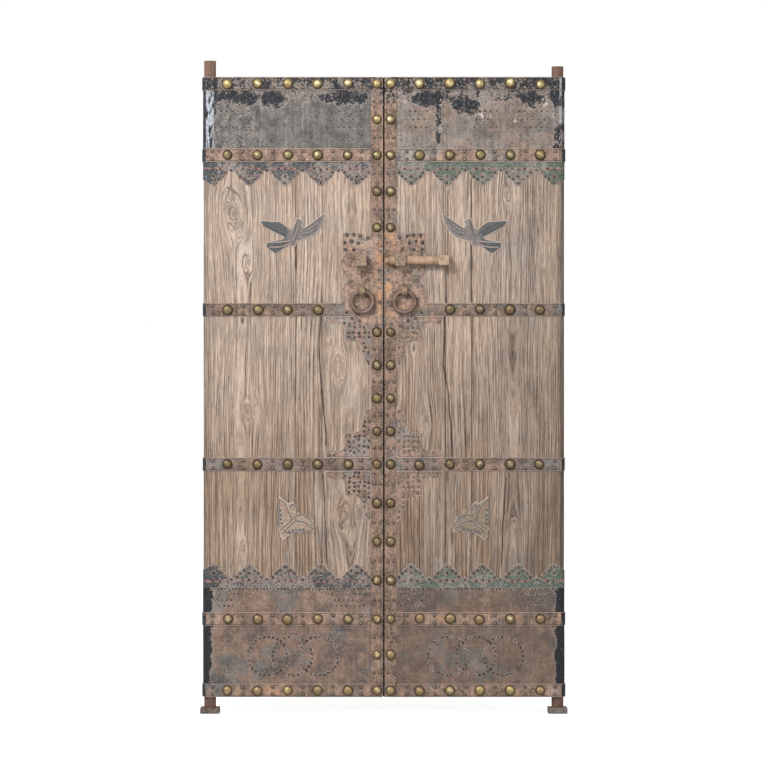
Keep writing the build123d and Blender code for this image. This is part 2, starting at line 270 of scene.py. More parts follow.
def wood_finish(name, foot, head, edge=0.3, fade=0.0):
    """Weathered boards: grain lines from the mesh's own grain field, stained pins.

    foot and head are the lightness at both ends, edge is the share of darkening along the leaf's outer edge and
    fade the loss of light towards that edge.
    """
    tones = bpy.context.scene.door_colours
    f = Finish(name)
    grain = f.attribute("grain", out="Vector")
    groove = f.attribute("groove")
    place = f.place()
    height = f.part(place, "Z")
    fine = f.noise(f.stretch(grain, (250.0, 4.5, 1.0)), detail=6.0, roughness=0.75)
    check = f.noise(f.stretch(grain, (360.0, 9.0, 1.0)), detail=3.0)
    line = f.noise(f.stretch(grain, (140.0, 2.2, 1.0)), detail=4.0, roughness=0.6)
    broad = f.noise(f.stretch(grain, (26.0, 0.9, 1.0)), detail=3.0)
    blotch = f.noise(place, scale=5.0, detail=6.0, roughness=0.6)
    grit = f.noise(f.stretch(place, (240.0, 60.0, 28.0)), detail=6.0, roughness=0.75)
    dirt = f.noise(f.stretch(place, (10.0, 10.0, 3.0)), detail=6.0, roughness=0.7)
    tint = f.mix(tones.wood_tan, tones.wood_light, f.step(broad, 0.32, 0.66) * 0.6 + 0.2)
    tint = f.mix(tint, tones.wood_grey, f.step(blotch, 0.45, 0.66) * 0.7)
    low = 1.0 - f.step(height, FOOT + 0.7, HEAD - 0.7)
    tint = f.mix(tint, tones.wood_amber, f.step(broad + (line - 0.5) * 0.4, 0.44, 0.6) * low * 0.55)
    growth = f.node("ShaderNodeMath", {"operation": "SINE"}, {0: f.part(grain, "X") * 760.0 + line * 9.0})
    growth = f.step(growth, 0.45, 0.95) * f.step(broad + blotch * 0.6, 0.66, 0.92)
    lines = f.step(line, 0.5, 0.56) * 0.4 + f.step(fine, 0.48, 0.57) * 0.6
    tint = f.mix(tint, tones.wood_dark, lines * 0.5 + groove * 0.14 + growth * 0.42)
    tint = f.mix(tint, tones.wood_dark, f.step(check, 0.6, 0.68) * 0.7)
    tint = f.mix(tint, tones.wood_dark, f.step(groove, 0.6, 1.0) * 0.8)
    across = abs(f.part(place, "X"))
    # darker along the leaf's outer edge
    tint = f.mix(tint, tones.wood_dark, f.step(across, OUTER - 0.036, OUTER - 0.004) * edge)
    tint = f.mix(tint, tones.wood_dark, f.step(dirt, 0.58, 0.8) * 0.6)
    level = f.step(height, FOOT + 0.3, HEAD - 0.4) * (head - foot) + foot
    level = level * (1.0 - f.step(across, OUTER - 0.32, OUTER - 0.1) * fade)
    tint = f.shade(tint, level * (0.62 + f.step(grit, 0.3, 0.7) * 0.44 + blotch * 0.3))
    pins = f.step(height, HEAD - 0.002, HEAD + 0.004) + 1.0 - f.step(height, FOOT - 0.004, FOOT + 0.002)
    tint = f.mix(tint, tones.pin_red, pins * (0.66 + grit * 0.4))
    # painted shade: the meeting edge is coloured black over its whole thickness so that the gap between the
    # leaves looks dark
    tint = f.mix(tint, tones.black_paint_and_gap_shade, (1.0 - f.step(across, 0.0024, 0.0032)) * 0.9)
    relief = lines * -0.8 + grit * 0.5 - growth * 0.5
    return f.close(tint, 0.72 + fine * 0.2, 0.0, relief, 0.0016, 0.06)


def zone_share(f, reach, zone):
    """How much a zone adds at each place: a rise along an axis, or an oval patch."""
    if zone[0] == "oval":
        across, up = (reach["X"] - zone[1]) / zone[3], (reach["Z"] - zone[2]) / zone[4]
        return (1.0 - f.step(across * across + up * up, 0.2, 1.0)) * zone[5]
    axis, low, high, amount = zone
    return f.step(reach[axis], low, high) * amount


def iron_finish(name, lightness=1.0, paint=None, zones=(), rust=0.3, warm=0.5, rim=None, film=None, **extra):
    """Old iron: brown film and bare grey, rust bloom, pits and flaking paint that is thicker in some zones.

    A zone is an axis, the two places between which it grows from none to full, and its share, or
    "oval", the middle, half the width and half the height of a patch, and its share.
    The rim can be "red" or "bare". The extras are:
    contrast: strength of the grain
    rust_zones: zones of more rust
    blue, blue_zones: share of a thin paint film, and zones of more of it
    flecks: share of pale flecks on the paint
    glints, wide: amount of painted glint, a highlight on the shiny black paint, along the outer edge, and how far
    in it starts
    chalk, chalk_zones: share of chalky patches, and zones of more of them
    seams: axis and place of pale lines
    lobes: red slits of a border
    gap: painted shade along the meeting edge, in black paint
    rub: bars that are worn and painted with a highlight in front, and dirty and painted with shade behind
    dull, gloss: least roughness and specular level
    """
    tones = bpy.context.scene.door_colours
    f = Finish(name)
    place = f.place()
    reach = {"X": abs(f.part(place, "X")), "Z": f.part(place, "Z")}
    cloud = f.noise(place, 7.0, 6.0, 0.6)
    patch = f.noise(place, 25.0, 8.0, 0.72)
    grit = f.noise(place, 115.0, 7.0, 0.75)
    sand = f.noise(place, 330.0, 5.0, 0.7)
    streak = f.noise(f.stretch(place, (75.0, 75.0, 7.0)), detail=5.0)
    pits = f.spots(place, 120.0)
    brown = tones.iron_brown if film is None else film
    tint = f.mix(tones.iron_grey, brown, f.step(cloud + patch * 0.5, 0.88 - 0.34 * warm, 1.0 - 0.34 * warm))
    rusting = patch + cloud * 0.7 + (grit - 0.5) * 0.5
    for zone in extra.get("rust_zones", ()):
        rusting = rusting + zone_share(f, reach, zone)
    tint = f.mix(tint, tones.rust, f.step(rusting, 1.06 - 0.34 * rust, 1.24 - 0.34 * rust) * 0.55)
    shade = f.step(grit, 0.34, 0.66) * 0.72 + f.step(streak, 0.3, 0.7) * 0.36
    shade = shade + f.step(patch, 0.36, 0.64) * 0.66 + f.step(sand, 0.36, 0.64) * 0.44 - 1.1
    tint = f.shade(tint, (shade * extra.get("contrast", 1.0) + 1.0) * lightness)
    if "blue" in extra:
        soft = f.noise(f.stretch(place, (9.0, 9.0, 13.0)), detail=7.0, roughness=0.7)
        for zone in extra.get("blue_zones", ()):
            soft = soft + zone_share(f, reach, zone)
        slate = f.shade(tones.blue_film, grit * 1.4 + 0.3)
        tint = f.mix(tint, slate, f.step(soft + (grit - 0.5) * 1.1, 0.53, 0.65) * extra["blue"])
    if paint is not None:
        share = (patch - 0.5) * 1.3 + (cloud - 0.5) * 0.7 + (grit - 0.5) * 1.15
        for zone in zones:
            share = share + zone_share(f, reach, zone)
        tint = f.mix(tint, tones.bare_edge, f.step(share, 0.28, 0.42) * 0.5)
        coat = f.shade(paint, f.step(grit, 0.3, 0.7) * 0.9 + 0.5)
        tint = f.mix(tint, coat, f.step(share, 0.4, 0.46) * 0.97)
        flecks = f.step(share, 0.5, 0.7) * f.step(grit + sand * 0.4, 0.74, 0.86)
        tint = f.mix(tint, tones.glint_and_fleck_pale, flecks * extra.get("flecks", 0.35))
    # painted highlight: pale glints of the shiny black paint in a strip along the outer edge
    if "glints" in extra:
        flash = f.noise(f.stretch(place, (60.0, 60.0, 17.0)), detail=5.0)
        wide = extra.get("wide", 0.022)
        strip = f.step(reach["X"], OUTER - wide, OUTER - wide + 0.008)
        strip = strip * (1.0 - f.step(reach["X"], OUTER - 0.013, OUTER - 0.008))
        flash = f.step(flash, 0.6 - 0.14 * extra["glints"], 0.7 - 0.14 * extra["glints"])
        tint = f.mix(tint, tones.glint_and_fleck_pale, strip * flash * (0.4 + f.step(grit, 0.4, 0.6) * 0.45))
    if "chalk" in extra:
        loose = f.noise(place, 42.0, 8.0, 0.75)
        for zone in extra.get("chalk_zones", ()):
            loose = loose + zone_share(f, reach, zone)
        loose = loose + (grit - 0.5) * 0.5
        tint = f.mix(tint, tones.chalk_white, f.step(loose, 0.72, 0.79) * extra["chalk"])
    for axis, at in extra.get("seams", ()):
        line = (1.0 - f.step(abs(reach[axis] - at), 0.0008, 0.003)) * f.step(patch + grit * 0.4, 0.64, 0.82)
        tint = f.mix(tint, tones.bare_edge, line * 0.34)
    if extra.get("lobes"):
        lobe = f.attribute("lobe", out="Vector")
        along, up = abs(f.part(lobe, "X")), f.part(lobe, "Z")
        slit = f.step(along, 0.006, 0.009) * (1.0 - f.step(along, 0.04, 0.044))
        slit = slit * (1.0 - f.step(abs(up - 0.0685 + along * along * 3.0), 0.0032, 0.0046))
        tint = f.mix(tint, tones.red_paint, slit * f.step(patch + grit * 0.6, 0.66, 0.84) * 0.8)
    if rim:
        line = f.attribute("rim")
        if rim == "red":
            band = f.step(line, 0.002, 0.004) * (1.0 - f.step(line, 0.006, 0.009))
            tint = f.mix(tint, tones.red_paint, band * f.step(patch + grit * 0.4, 0.66, 0.82) * 0.6)
        # painted shade and dirt: a dark line a few millimetres inside the rim, beside the pale worn edge
        edge_shade_line = f.step(line, 0.002, 0.0035) * (1.0 - f.step(line, 0.0045, 0.0065))
        tint = f.mix(tint, tones.dirt_and_shade_dark, edge_shade_line * (0.45 if rim == "red" else 0.65))
        worn = (1.0 - f.step(line, 0.0008, 0.003)) * f.step(patch + grit * 0.5, 0.46, 0.7)
        tint = f.mix(tint, tones.bare_edge, worn * (0.8 if rim == "red" else 0.5))
    tint = f.mix(tint, tones.dirt_and_shade_dark, (1.0 - f.step(pits + patch * 0.2, 0.2, 0.34)) * 0.65)
    # painted shade and highlight: the back of a bar is darkened as dirt and shade, the front lightened as wear
    # and a highlight
    if extra.get("rub"):
        front = f.attribute("front")
        tint = f.mix(tint, tones.dirt_and_shade_dark, (1.0 - f.step(front, -0.9, 0.1)) * 0.8)
        tint = f.mix(tint, tones.bare_edge, f.step(front + (grit - 0.5) * 0.5, 0.85, 1.1) * 0.18)
    # painted shade: black along the meeting edge so that the gap between the leaves looks dark
    if extra.get("gap"):
        tint = f.mix(tint, tones.black_paint_and_gap_shade, (1.0 - f.step(reach["X"], 0.0026, 0.0036)) * 0.85)
    relief = grit * 0.8 + patch * 0.7 + f.step(pits, 0.0, 0.3) * 0.4
    roughness = extra.get("dull", 0.48) + patch * 0.4
    return f.close(tint, roughness, 0.06, relief, 0.0018, extra.get("gloss", 0.16))


def nail_finish(name, body, brim):
    """Nail heads: dirt and painted shade at the foot, crowns rubbed and painted with a highlight, a skirt of iron
    that is pale by the share of brim.
    """
    tones = bpy.context.scene.door_colours
    f = Finish(name)
    place = f.place()
    rise = f.attribute("crown")
    kind = f.noise(place, 30.0, 3.0)
    speck = f.noise(place, 260.0, 5.0, 0.7)
    # painted shade: the low sides of each head are darkened as dirt and shade; a painted highlight follows on the
    # crown
    tint = f.mix(tones.dirt_and_shade_dark, body, f.step(rise, 0.3, 0.7))
    rubbed = rise + (speck - 0.5) * 0.7 + (kind - 0.5) * 0.8
    tint = f.mix(tint, tones.nail_rub_and_highlight, f.step(rubbed, 0.84, 1.14) * 0.6)
    skirt = f.mix(tones.nail_skirt, tones.bare_edge, f.step(kind, 0.4, 0.6) * brim)
    tint = f.mix(skirt, tint, f.step(rise, 0.02, 0.08))
    tint = f.shade(tint, f.step(speck, 0.3, 0.7) * 0.6 + 0.7)
    return f.close(tint, 0.4 + speck * 0.3, 0.1, speck, 0.0008, 0.25)


def ornament_finish(name, fill, dark, reach):
    """Beaten sheet: pale rim, dark lines between pale flanks, red cells, the dark colour beyond a reach."""
    tones = bpy.context.scene.door_colours
    f = Finish(name)
    place = f.place()
    line, rim = f.attribute("line"), f.attribute("rim")
    patch = f.noise(place, 32.0, 7.0, 0.7)
    grit = f.noise(place, 130.0, 6.0, 0.75)
    tint = f.mix(fill, tones.iron_grey, f.step(patch, 0.45, 0.65) * 0.4)
    outer = f.step(abs(f.part(place, "X")) + (patch - 0.5) * 0.06, reach - 0.015, reach + 0.015)
    tint = f.mix(tint, dark, outer * 0.8)
    tint = f.mix(tint, dark, f.step(patch + (grit - 0.5) * 0.5, 0.54, 0.66) * 0.6)
    tint = f.shade(tint, f.step(grit, 0.3, 0.7) * 0.7 + 0.65)
    tint = f.mix(tint, tones.red_paint, f.step(line, 0.1, 0.2) * (1.0 - f.step(line, 0.3, 0.4)) * 0.5)
    tint = f.mix(tint, tones.bare_edge, (1.0 - f.step(rim, 0.0012, 0.0036)) * 0.85)
    tint = f.mix(tint, tones.bare_edge, f.step(line, 0.35, 0.45) * 0.8)
    tint = f.mix(tint, tones.blue_film, f.step(line, 0.7, 0.9) * 0.9)
    return f.close(tint, 0.42 + patch * 0.3, 0.06, grit * 0.6 + patch * 0.6, 0.0012, 0.2)


def brass_finish(name):
    """Tarnished brass: dirty and painted with shade at the foot, rubbed bright and painted with a highlight on
    top, some studs browner than others.

    The studs at the head and foot of the leaves are lighter than those between.
    """
    tones = bpy.context.scene.door_colours
    f = Finish(name)
    place = f.place()
    worn = f.attribute("crown")
    kind = f.noise(place, scale=11.0, detail=2.0)
    cloud = f.noise(place, scale=60.0, detail=5.0, roughness=0.65)
    speck = f.noise(place, scale=260.0, detail=4.0)
    height = f.part(place, "Z")
    low = 1.0 - f.step(height, ROWS[2] - 0.2, ROWS[0])
    tint = f.mix(tones.brass, tones.brass_brown, f.step(kind + low * 0.16, 0.44, 0.66) * 0.85)
    # painted shade at the foot and brim of each stud and a painted highlight on the crown, besides dirt and rub
    tint = f.mix(tones.brass_dirt_and_shade, tint, f.step(worn + (cloud - 0.5) * 0.9, 0.3, 0.8))
    tint = f.mix(tint, tones.brass_rub_and_highlight, f.step(worn + (cloud - 0.5) * 1.6 - low * 0.12, 0.86, 1.12) * 0.8)
    tint = f.mix(tint, tones.brass_dirt_and_shade, f.step(speck, 0.56, 0.68) * 0.6)
    # lighter at the head and foot of the leaves than between
    foot = 1.0 - f.step(height, ROWS[5], ROWS[3] - 0.1)
    tint = f.shade(tint, f.step(height, ROWS[1] - 0.05, ROWS[0]) * 0.55 + foot * 0.63 + 0.78)
    return f.close(tint, 0.26 + cloud * 0.34, 0.55, speck * 0.6 + cloud * 1.6, 0.0013, 0.5)


# Modelling helpers


def deselect():
    """Leave edit mode and select nothing."""
    if bpy.context.mode != "OBJECT":
        bpy.ops.object.mode_set(mode="OBJECT")
    bpy.ops.object.select_all(action="DESELECT")


def take(piece):
    """Make one piece the selected, active one."""
    deselect()
    piece.select_set(True)
    bpy.context.view_layer.objects.active = piece


def edit(piece):
    """Open one piece in edit mode with all of it selected."""
    take(piece)
    bpy.ops.object.mode_set(mode="EDIT")
    bpy.ops.mesh.select_all(action="SELECT")


def merged_copy(node, name):
    """A copy of a CAD node with its triangles merged into flat faces."""
    source = bpy.data.objects[node]
    piece = bpy.data.objects.new(name, source.data.copy())
    bpy.context.scene.collection.objects.link(piece)
    piece.data.materials.clear()
    take(piece)
    if piece.data.has_custom_normals:
        bpy.ops.mesh.customdata_custom_splitnormals_clear()
    edit(piece)
    bpy.ops.mesh.remove_doubles(threshold=0.00002)
    bpy.ops.mesh.dissolve_limited(angle_limit=math.radians(2.0))
    bpy.ops.object.mode_set(mode="OBJECT")
    return piece


def points_of(piece):
    """Vertex places as an array."""
    places = np.empty(len(piece.data.vertices) * 3)
    piece.data.vertices.foreach_get("co", places)
    return places.reshape(-1, 3)


def normals_of(piece):
    """Vertex normals as an array."""
    normals = np.empty(len(piece.data.vertices) * 3)
    piece.data.vertex_normals.foreach_get("vector", normals)
    return normals.reshape(-1, 3)


def put_points(piece, places):
    """Write vertex places back."""
    piece.data.vertices.foreach_set("co", places.ravel())
    piece.data.update()


def keep_value(piece, name, values):
    """Keep a number or vector of each vertex for the material."""
    values = np.asarray(values, dtype=np.float32)
    kind, field = ("FLOAT", "value") if values.ndim == 1 else ("FLOAT_VECTOR", "vector")
    layer = piece.data.attributes.new(name, kind, "POINT")
    layer.data.foreach_set(field, values.ravel())


def slice_grid(piece, axis, pitch):
    """Cut a piece into even steps along an axis."""
    low, high = points_of(piece)[:, axis].min(), points_of(piece)[:, axis].max()
    count = int((high - low) / pitch)
    normal = [0.0, 0.0, 0.0]
    normal[axis] = 1.0
    edit(piece)
    for k in range(1, count + 1):
        bpy.ops.mesh.select_all(action="SELECT")
        at = [0.0, 0.0, 0.0]
        at[axis] = low + k * (high - low) / (count + 1)
        bpy.ops.mesh.bisect(plane_co=at, plane_no=normal)
    bpy.ops.object.mode_set(mode="OBJECT")


def apply(piece, kind, **settings):
    """Add a modifier and apply it."""
    take(piece)
    modifier = piece.modifiers.new(kind.title(), kind)
    for key, value in settings.items():
        setattr(modifier, key, value)
    bpy.ops.object.modifier_apply(modifier=modifier.name)


def round_edges(piece, width, segments, degrees):
    """Round the edges that are sharper than an angle."""
    limit = math.radians(degrees)
    apply(piece, "BEVEL", width=width, segments=segments, limit_method="ANGLE", angle_limit=limit)


def hammer(piece, depth, size, seed):
    """Uneven surface of forged or dented metal."""
    texture = bpy.data.textures.new("hammer_%d" % seed, "CLOUDS")
    texture.noise_scale = size
    texture.noise_depth = 2
    texture.noise_basis = "ORIGINAL_PERLIN"
    apply(piece, "DISPLACE", texture=texture, strength=depth, mid_level=0.62, texture_coords="LOCAL")
    bpy.data.textures.remove(texture)


def corners(node):
    """Lowest and highest corner of a CAD node."""
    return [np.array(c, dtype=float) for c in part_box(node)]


def discard(piece):
    """Remove a piece that was only measured or copied."""
    mesh = piece.data
    bpy.data.objects.remove(piece)
    bpy.data.meshes.remove(mesh)


def finish_piece(piece, material, body, slot, *nodes, angle=40.0):
    """Give a piece its material, smooth shading and place in the assembly."""
    take(piece)
    piece.data.materials.clear()
    piece.data.materials.append(material)
    bpy.ops.object.shade_smooth_by_angle(angle=math.radians(angle))
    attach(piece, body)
    if nodes:
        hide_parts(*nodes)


def outline_of(node):
    """Front outline of a flat CAD node as points of the front view."""
    piece = merged_copy(node, node + "_outline")
    best = min(piece.data.polygons, key=lambda p: p.normal.y * p.area)
    ring = [piece.data.vertices[i].co for i in best.vertices]
    ring = np.array([(v.x, v.z) for v in ring])
    discard(piece)
    return ring


def edge_distance(x, z, ring):
    """Distance of points to an outline."""
    best = np.full(x.shape, FAR)
    for (ax, az), (bx, bz) in zip(ring, np.roll(ring, -1, axis=0)):
        dx, dz = bx - ax, bz - az
        t = np.clip(((x - ax) * dx + (z - az) * dz) / max(dx * dx + dz * dz, 1e-12), 0.0, 1.0)
        best = np.minimum(best, np.hypot(x - ax - t * dx, z - az - t * dz))
    return best


def inside(x, z, ring):
    """Whether points lie in an outline."""
    hit = np.zeros(x.shape, dtype=bool)
    for (ax, az), (bx, bz) in zip(ring, np.roll(ring, -1, axis=0)):
        if az == bz:
            continue
        crosses = (az > z) != (bz > z)
        hit ^= crosses & (x < ax + (z - az) * (bx - ax) / (bz - az))
    return hit


def lattice(x, y, seed):
    """Smooth seeded noise between 0 and 1."""
    cx, cy = np.floor(x), np.floor(y)
    fx, fy = x - cx, y - cy
    fx, fy = fx * fx * (3 - 2 * fx), fy * fy * (3 - 2 * fy)

    def corner(i, j):
        value = np.sin(i * 127.1 + j * 311.7 + seed * 74.7) * 43758.5453
        return value - np.floor(value)

    low = corner(cx, cy) * (1 - fx) + corner(cx + 1, cy) * fx
    high = corner(cx, cy + 1) * (1 - fx) + corner(cx + 1, cy + 1) * fx
    return low * (1 - fy) + high * fy


# Boards

# knots: distance from the meeting line, height above the leaf's foot, radius, in metres
KNOTS = {
    "left": (
        (0.562, 1.815, 0.026), (0.585, 1.865, 0.012), (0.545, 1.775, 0.014), (0.509, 1.631, 0.015),
        (0.514, 1.069, 0.014), (0.479, 1.072, 0.011), (0.164, 1.237, 0.018), (0.149, 0.679, 0.02),
        (0.097, 0.694, 0.012), (0.528, 0.559, 0.009), (0.205, 1.33, 0.008),
    ),
    "right": (
        (0.151, 1.024, 0.014), (0.458, 1.886, 0.011), (0.47, 1.83, 0.008), (0.6, 1.6, 0.007),
        (0.11, 1.31, 0.008), (0.49, 0.66, 0.008), (0.3, 0.72, 0.006),
    ),
}
# heart of each board's growth rings: distance from the meeting line and depth behind the face
HEARTS = {
    "left_plank_inner": (0.13, 0.05), "left_plank_middle": (0.2, 0.09), "left_plank_outer": (0.53, 0.016),
    "left_pivot_stile": (0.53, 0.016), "right_plank_inner": (0.02, 0.07), "right_plank_middle": (0.38, 0.1),
    "right_plank_outer": (0.488, 0.014), "right_pivot_stile": (0.488, 0.014),
}
# long drying cracks: points from the meeting line and above the foot, width, depth
CRACKS = {
    "left": (
        (((0.243, 1.315), (0.236, 1.2), (0.226, 1.1), (0.215, 0.94)), 0.0022, 0.006),
        (((0.229, 0.83), (0.222, 0.7), (0.215, 0.58), (0.21, 0.5)), 0.002, 0.005),
        (((0.5, 1.55), (0.503, 1.48)), 0.0018, 0.004),
        (((0.516, 1.32), (0.518, 1.12)), 0.0018, 0.004),
        (((0.33, 1.86), (0.329, 1.48)), 0.0016, 0.004),
    ),
    "right": (
        (((0.228, 1.42), (0.226, 1.25), (0.24, 1.14), (0.253, 1.02), (0.255, 0.9)), 0.0022, 0.006),
        (((0.458, 0.82), (0.448, 0.66), (0.44, 0.5)), 0.0022, 0.006),
        (((0.327, 1.9), (0.329, 1.48)), 0.0018, 0.005),
        (((0.24, 1.9), (0.242, 1.7), (0.236, 1.48)), 0.0018, 0.004),
        (((0.46, 1.85), (0.478, 1.6), (0.47, 1.48)), 0.0016, 0.003),
    ),
}

# lightness at foot and head, darkening along the outer edge, loss of light towards that edge
WOOD_LEVELS = {"left": (0.845, 1.04, 0.25), "right": (0.7, 1.01, 0.5, 0.15)}
# parts of a board along its height and depth, and the width of a part across it
BOARD_ROWS = 162
BOARD_LAYERS = 3
BOARD_PITCH = 0.0028
# most parts that one subdivision makes
MOST_CUTS = 90
# depth at which a groove counts as full
FULL_GROOVE = 0.0019
# how near to a joint a point has to be to lie on it, and half the gap left behind the meeting edge
ON_JOINT = 0.0005
HALF_GAP = 0.00003


def grain_field(u, h, heart, side, seed):
    """Growth-ring coordinate across a board, bent round its knots."""
    flow = u + (lattice(h * 2.2, u * 3.0, seed) - 0.5) * 0.02
    flow = flow + (lattice(h * 7.0, u * 14.0, seed + 3) - 0.5) * 0.004
    for ku, kh, radius in KNOTS[side]:
        across, along = u - ku, (h - kh) / 2.4
        reach = across * across + along * along + (radius * 0.4) ** 2
        flow = flow - across * radius * radius * 1.9 / reach
    middle, depth = heart
    drift = depth + 0.03 * (lattice(h * 1.1, np.zeros_like(h), seed + 7) - 0.35)
    rings = np.sqrt((flow - middle) ** 2 + drift * drift)
    for ku, kh, radius in KNOTS[side]:
        reach = np.hypot(u - ku, (h - kh) / 1.35)
        eye = np.exp(-((reach / (radius * 1.05)) ** 3))
        rings = rings * (1.0 - eye) + eye * (reach * 1.15 - radius + np.hypot(ku - middle, depth))
    return rings


def weather(piece, node, side, seed, low_u, high_u, seams=(1.0, 1.0)):
    """Wear the soft grain, joints, cracks and knots out of a board and keep its grain for the material."""
    sizes = bpy.context.scene.door_sizes
    places, normals = points_of(piece), normals_of(piece)
    normals[:, 2] = 0.0
    u, h = np.abs(places[:, 0]), places[:, 2] - FOOT
    normals[np.minimum(u - low_u, high_u - u) < ON_JOINT, 0] = 0.0
    rings = grain_field(u, h, HEARTS.get(node, (0.9, 0.05)), side, seed)
    lines = lattice(rings / 0.0075, h / 0.5, seed + 11)
    fine = lattice(rings / 0.0042, h / 0.22, seed + 12)
    groove = np.clip((lines - 0.42) * 2.0, 0.0, 1.0) * 0.65 + np.clip((fine - 0.5) * 2.0, 0.0, 1.0) * 0.45
    groove *= 0.55 + 0.9 * lattice(u * 9.0, h * 1.7, seed + 13)
    depth = sizes.grain_depth * groove
    for near, open_share in zip((u - low_u, high_u - u), seams):
        worn = 0.5 + lattice(h * 5.0, u * 40.0, seed + 14)
        depth += sizes.seam_depth * open_share * np.exp(-((near / 0.0019) ** 2)) * worn
    for ku, kh, radius in KNOTS[side]:
        reach = np.hypot(u - ku, (h - kh) / 1.25)
        eye = np.exp(-((reach / (radius * 0.75)) ** 2))
        depth += eye * 0.0009 * np.sin(reach / radius * 9.0) ** 2
    for path, width, deep in CRACKS[side]:
        best = np.full(u.shape, FAR)
        for (au, ah), (bu, bh) in zip(path, path[1:]):
            t = np.clip((h - ah) / (bh - ah), 0.0, 1.0)
            sway = (lattice(h * 16.0, np.zeros_like(h), seed + 15) - 0.5) * 0.006
            inside_run = (h - ah) * (h - bh) < 0.0004
            best = np.where(inside_run, np.minimum(best, np.abs(u - au - t * (bu - au) - sway)), best)
        depth += deep * np.exp(-((best / width) ** 2))
    put_points(piece, places - normals * depth[:, None])
    keep_value(piece, "grain", np.column_stack((rings, h, np.full_like(h, seed * 1.7))))
    keep_value(piece, "groove", np.clip(depth / FULL_GROOVE, 0.0, 1.0))


def close_meeting_edge(piece, sign):
    """Let the back half of the meeting edge nearly touch the other leaf, which leaves a dark gap in front."""
    places = points_of(piece)
    meeting = (np.abs(places[:, 0]) < MEETING + ON_JOINT) & (places[:, 1] > 0.0)
    places[meeting, 0] = sign * HALF_GAP
    put_points(piece, places)


def divide_edges(piece, axis, parts):
    """Divide all edges along an axis into equal parts."""
    while parts > 1:
        cuts = min(parts, MOST_CUTS)
        if parts > MOST_CUTS:
            cuts = 2 if parts % 2 == 0 else 3
        edit(piece)
        bpy.ops.mesh.select_mode(type="EDGE")
        bpy.ops.mesh.select_all(action="DESELECT")
        bpy.ops.object.mode_set(mode="OBJECT")
        places = points_of(piece)
        for e in piece.data.edges:
            run = np.abs(places[e.vertices[1]] - places[e.vertices[0]])
            e.select = bool(run.argmax() == axis)
        bpy.ops.object.mode_set(mode="EDIT")
        bpy.ops.mesh.subdivide(number_cuts=cuts - 1, quadcorner="STRAIGHT_CUT")
        bpy.ops.object.mode_set(mode="OBJECT")
        parts //= cuts


class DOOR_OT_boards(bpy.types.Operator):
    """Model the weathered planks and pivot posts"""

    bl_idname = "temple_door.boards"
    bl_label = "Boards and pivot posts"

    def execute(self, context):
        for side, sign in SIDES:
            wood = wood_finish(side + "_wood", *WOOD_LEVELS[side])
            first_seed = 5 if sign > 0 else 1
            for number, name in enumerate(("plank_inner", "plank_middle", "plank_outer")):
                node = "%s_%s" % (side, name)
                low, high = corners(node)
                deselect()
                middle = tuple((low + high) / 2)
                bpy.ops.mesh.primitive_cube_add(size=1.0, location=middle, scale=tuple(high - low))
                bpy.ops.object.transform_apply(location=True, rotation=True, scale=True)
                piece = context.object
                piece.name = node + "_worn"
                divide_edges(piece, 2, BOARD_ROWS)
                divide_edges(piece, 0, int((high[0] - low[0]) / BOARD_PITCH))
                divide_edges(piece, 1, BOARD_LAYERS)
                ends = sorted((abs(low[0]), abs(high[0])))
                seams = (1.0, 0.06 if name == "plank_outer" else 1.0)
                weather(piece, node, side, first_seed + number, ends[0], ends[1], seams)
                if name == "plank_inner":
                    close_meeting_edge(piece, sign)
                finish_piece(piece, wood, side + "_leaf", "weathered_wood", node, angle=60.0)
            node = side + "_pivot_stile"
            piece = merged_copy(node, node + "_worn")
            slice_grid(piece, 2, 0.0143)
            slice_grid(piece, 0, 0.0033)
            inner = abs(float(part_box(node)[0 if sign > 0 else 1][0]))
            weather(piece, node, side, first_seed + 2, inner, OUTER + 0.02, (0.06, 0.0))
            finish_piece(piece, wood, side + "_leaf", "weathered_wood", node, angle=60.0)
        return {"FINISHED"}


class DOOR_OT_battens(bpy.types.Operator):
    """Model the dovetailed battens on the back"""

    bl_idname = "temple_door.battens"
    bl_label = "Battens"

    def execute(self, context):
        sizes = context.scene.door_sizes
        wood = wood_finish("batten_wood", 0.6, 0.8, 0.0)
        for side, sign in SIDES:
            for k in range(1, 5):
                node = "%s_batten_%d" % (side, k)
                piece = merged_copy(node, node + "_worn")
                apply(piece, "BEVEL", width=0.003, segments=2, limit_method="ANGLE")
                slice_grid(piece, 0, 0.016)
                slice_grid(piece, 2, 0.006)
                places, normals = points_of(piece), normals_of(piece)
                along, across = places[:, 0], places[:, 2]
                sway = 0.004 * lattice(along * 6, across * 4, k)
                rings = np.sqrt((across - across.mean() + sway) ** 2 + 0.02**2)
                lines = lattice(rings / 0.006, along / 0.3, k + 31)
                depth = sizes.grain_depth * np.clip((lines - 0.4) * 2.0, 0.0, 1.0)
                put_points(piece, places - normals * depth[:, None])
                layer = np.full_like(along, k * 3.1 + sign)
                keep_value(piece, "grain", np.column_stack((rings, along, layer)))
                keep_value(piece, "groove", np.clip(depth / FULL_GROOVE, 0.0, 1.0))
                finish_piece(piece, wood, side + "_leaf", "weathered_wood", node)
        return {"FINISHED"}


# Ironwork

# paint is thickest round the outer edge of each leaf
OUTER_EDGE = ("X", OUTER - 0.06, OUTER - 0.03, 0.5)
# rounding of a scalloped plate's edges
PLATE_ROUND = 0.0004
LOBES = 5
LOBE_PITCH = 0.134
LOBE_START = STRAP_EDGE + 0.054
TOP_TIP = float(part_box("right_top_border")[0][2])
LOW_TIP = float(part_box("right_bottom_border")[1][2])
# half a lobe from its tip to the small pendant beside it:
# distance along, height above the tip, bulge of the arc
LOBE_SIDE = ((0.0, 0.0, 0.0), (0.021, 0.017, 0.0035), (0.036, 0.031, 0.003), (0.048, 0.044, 0.003),
             (0.051, 0.056, -0.001), (0.067, 0.045, -0.004))


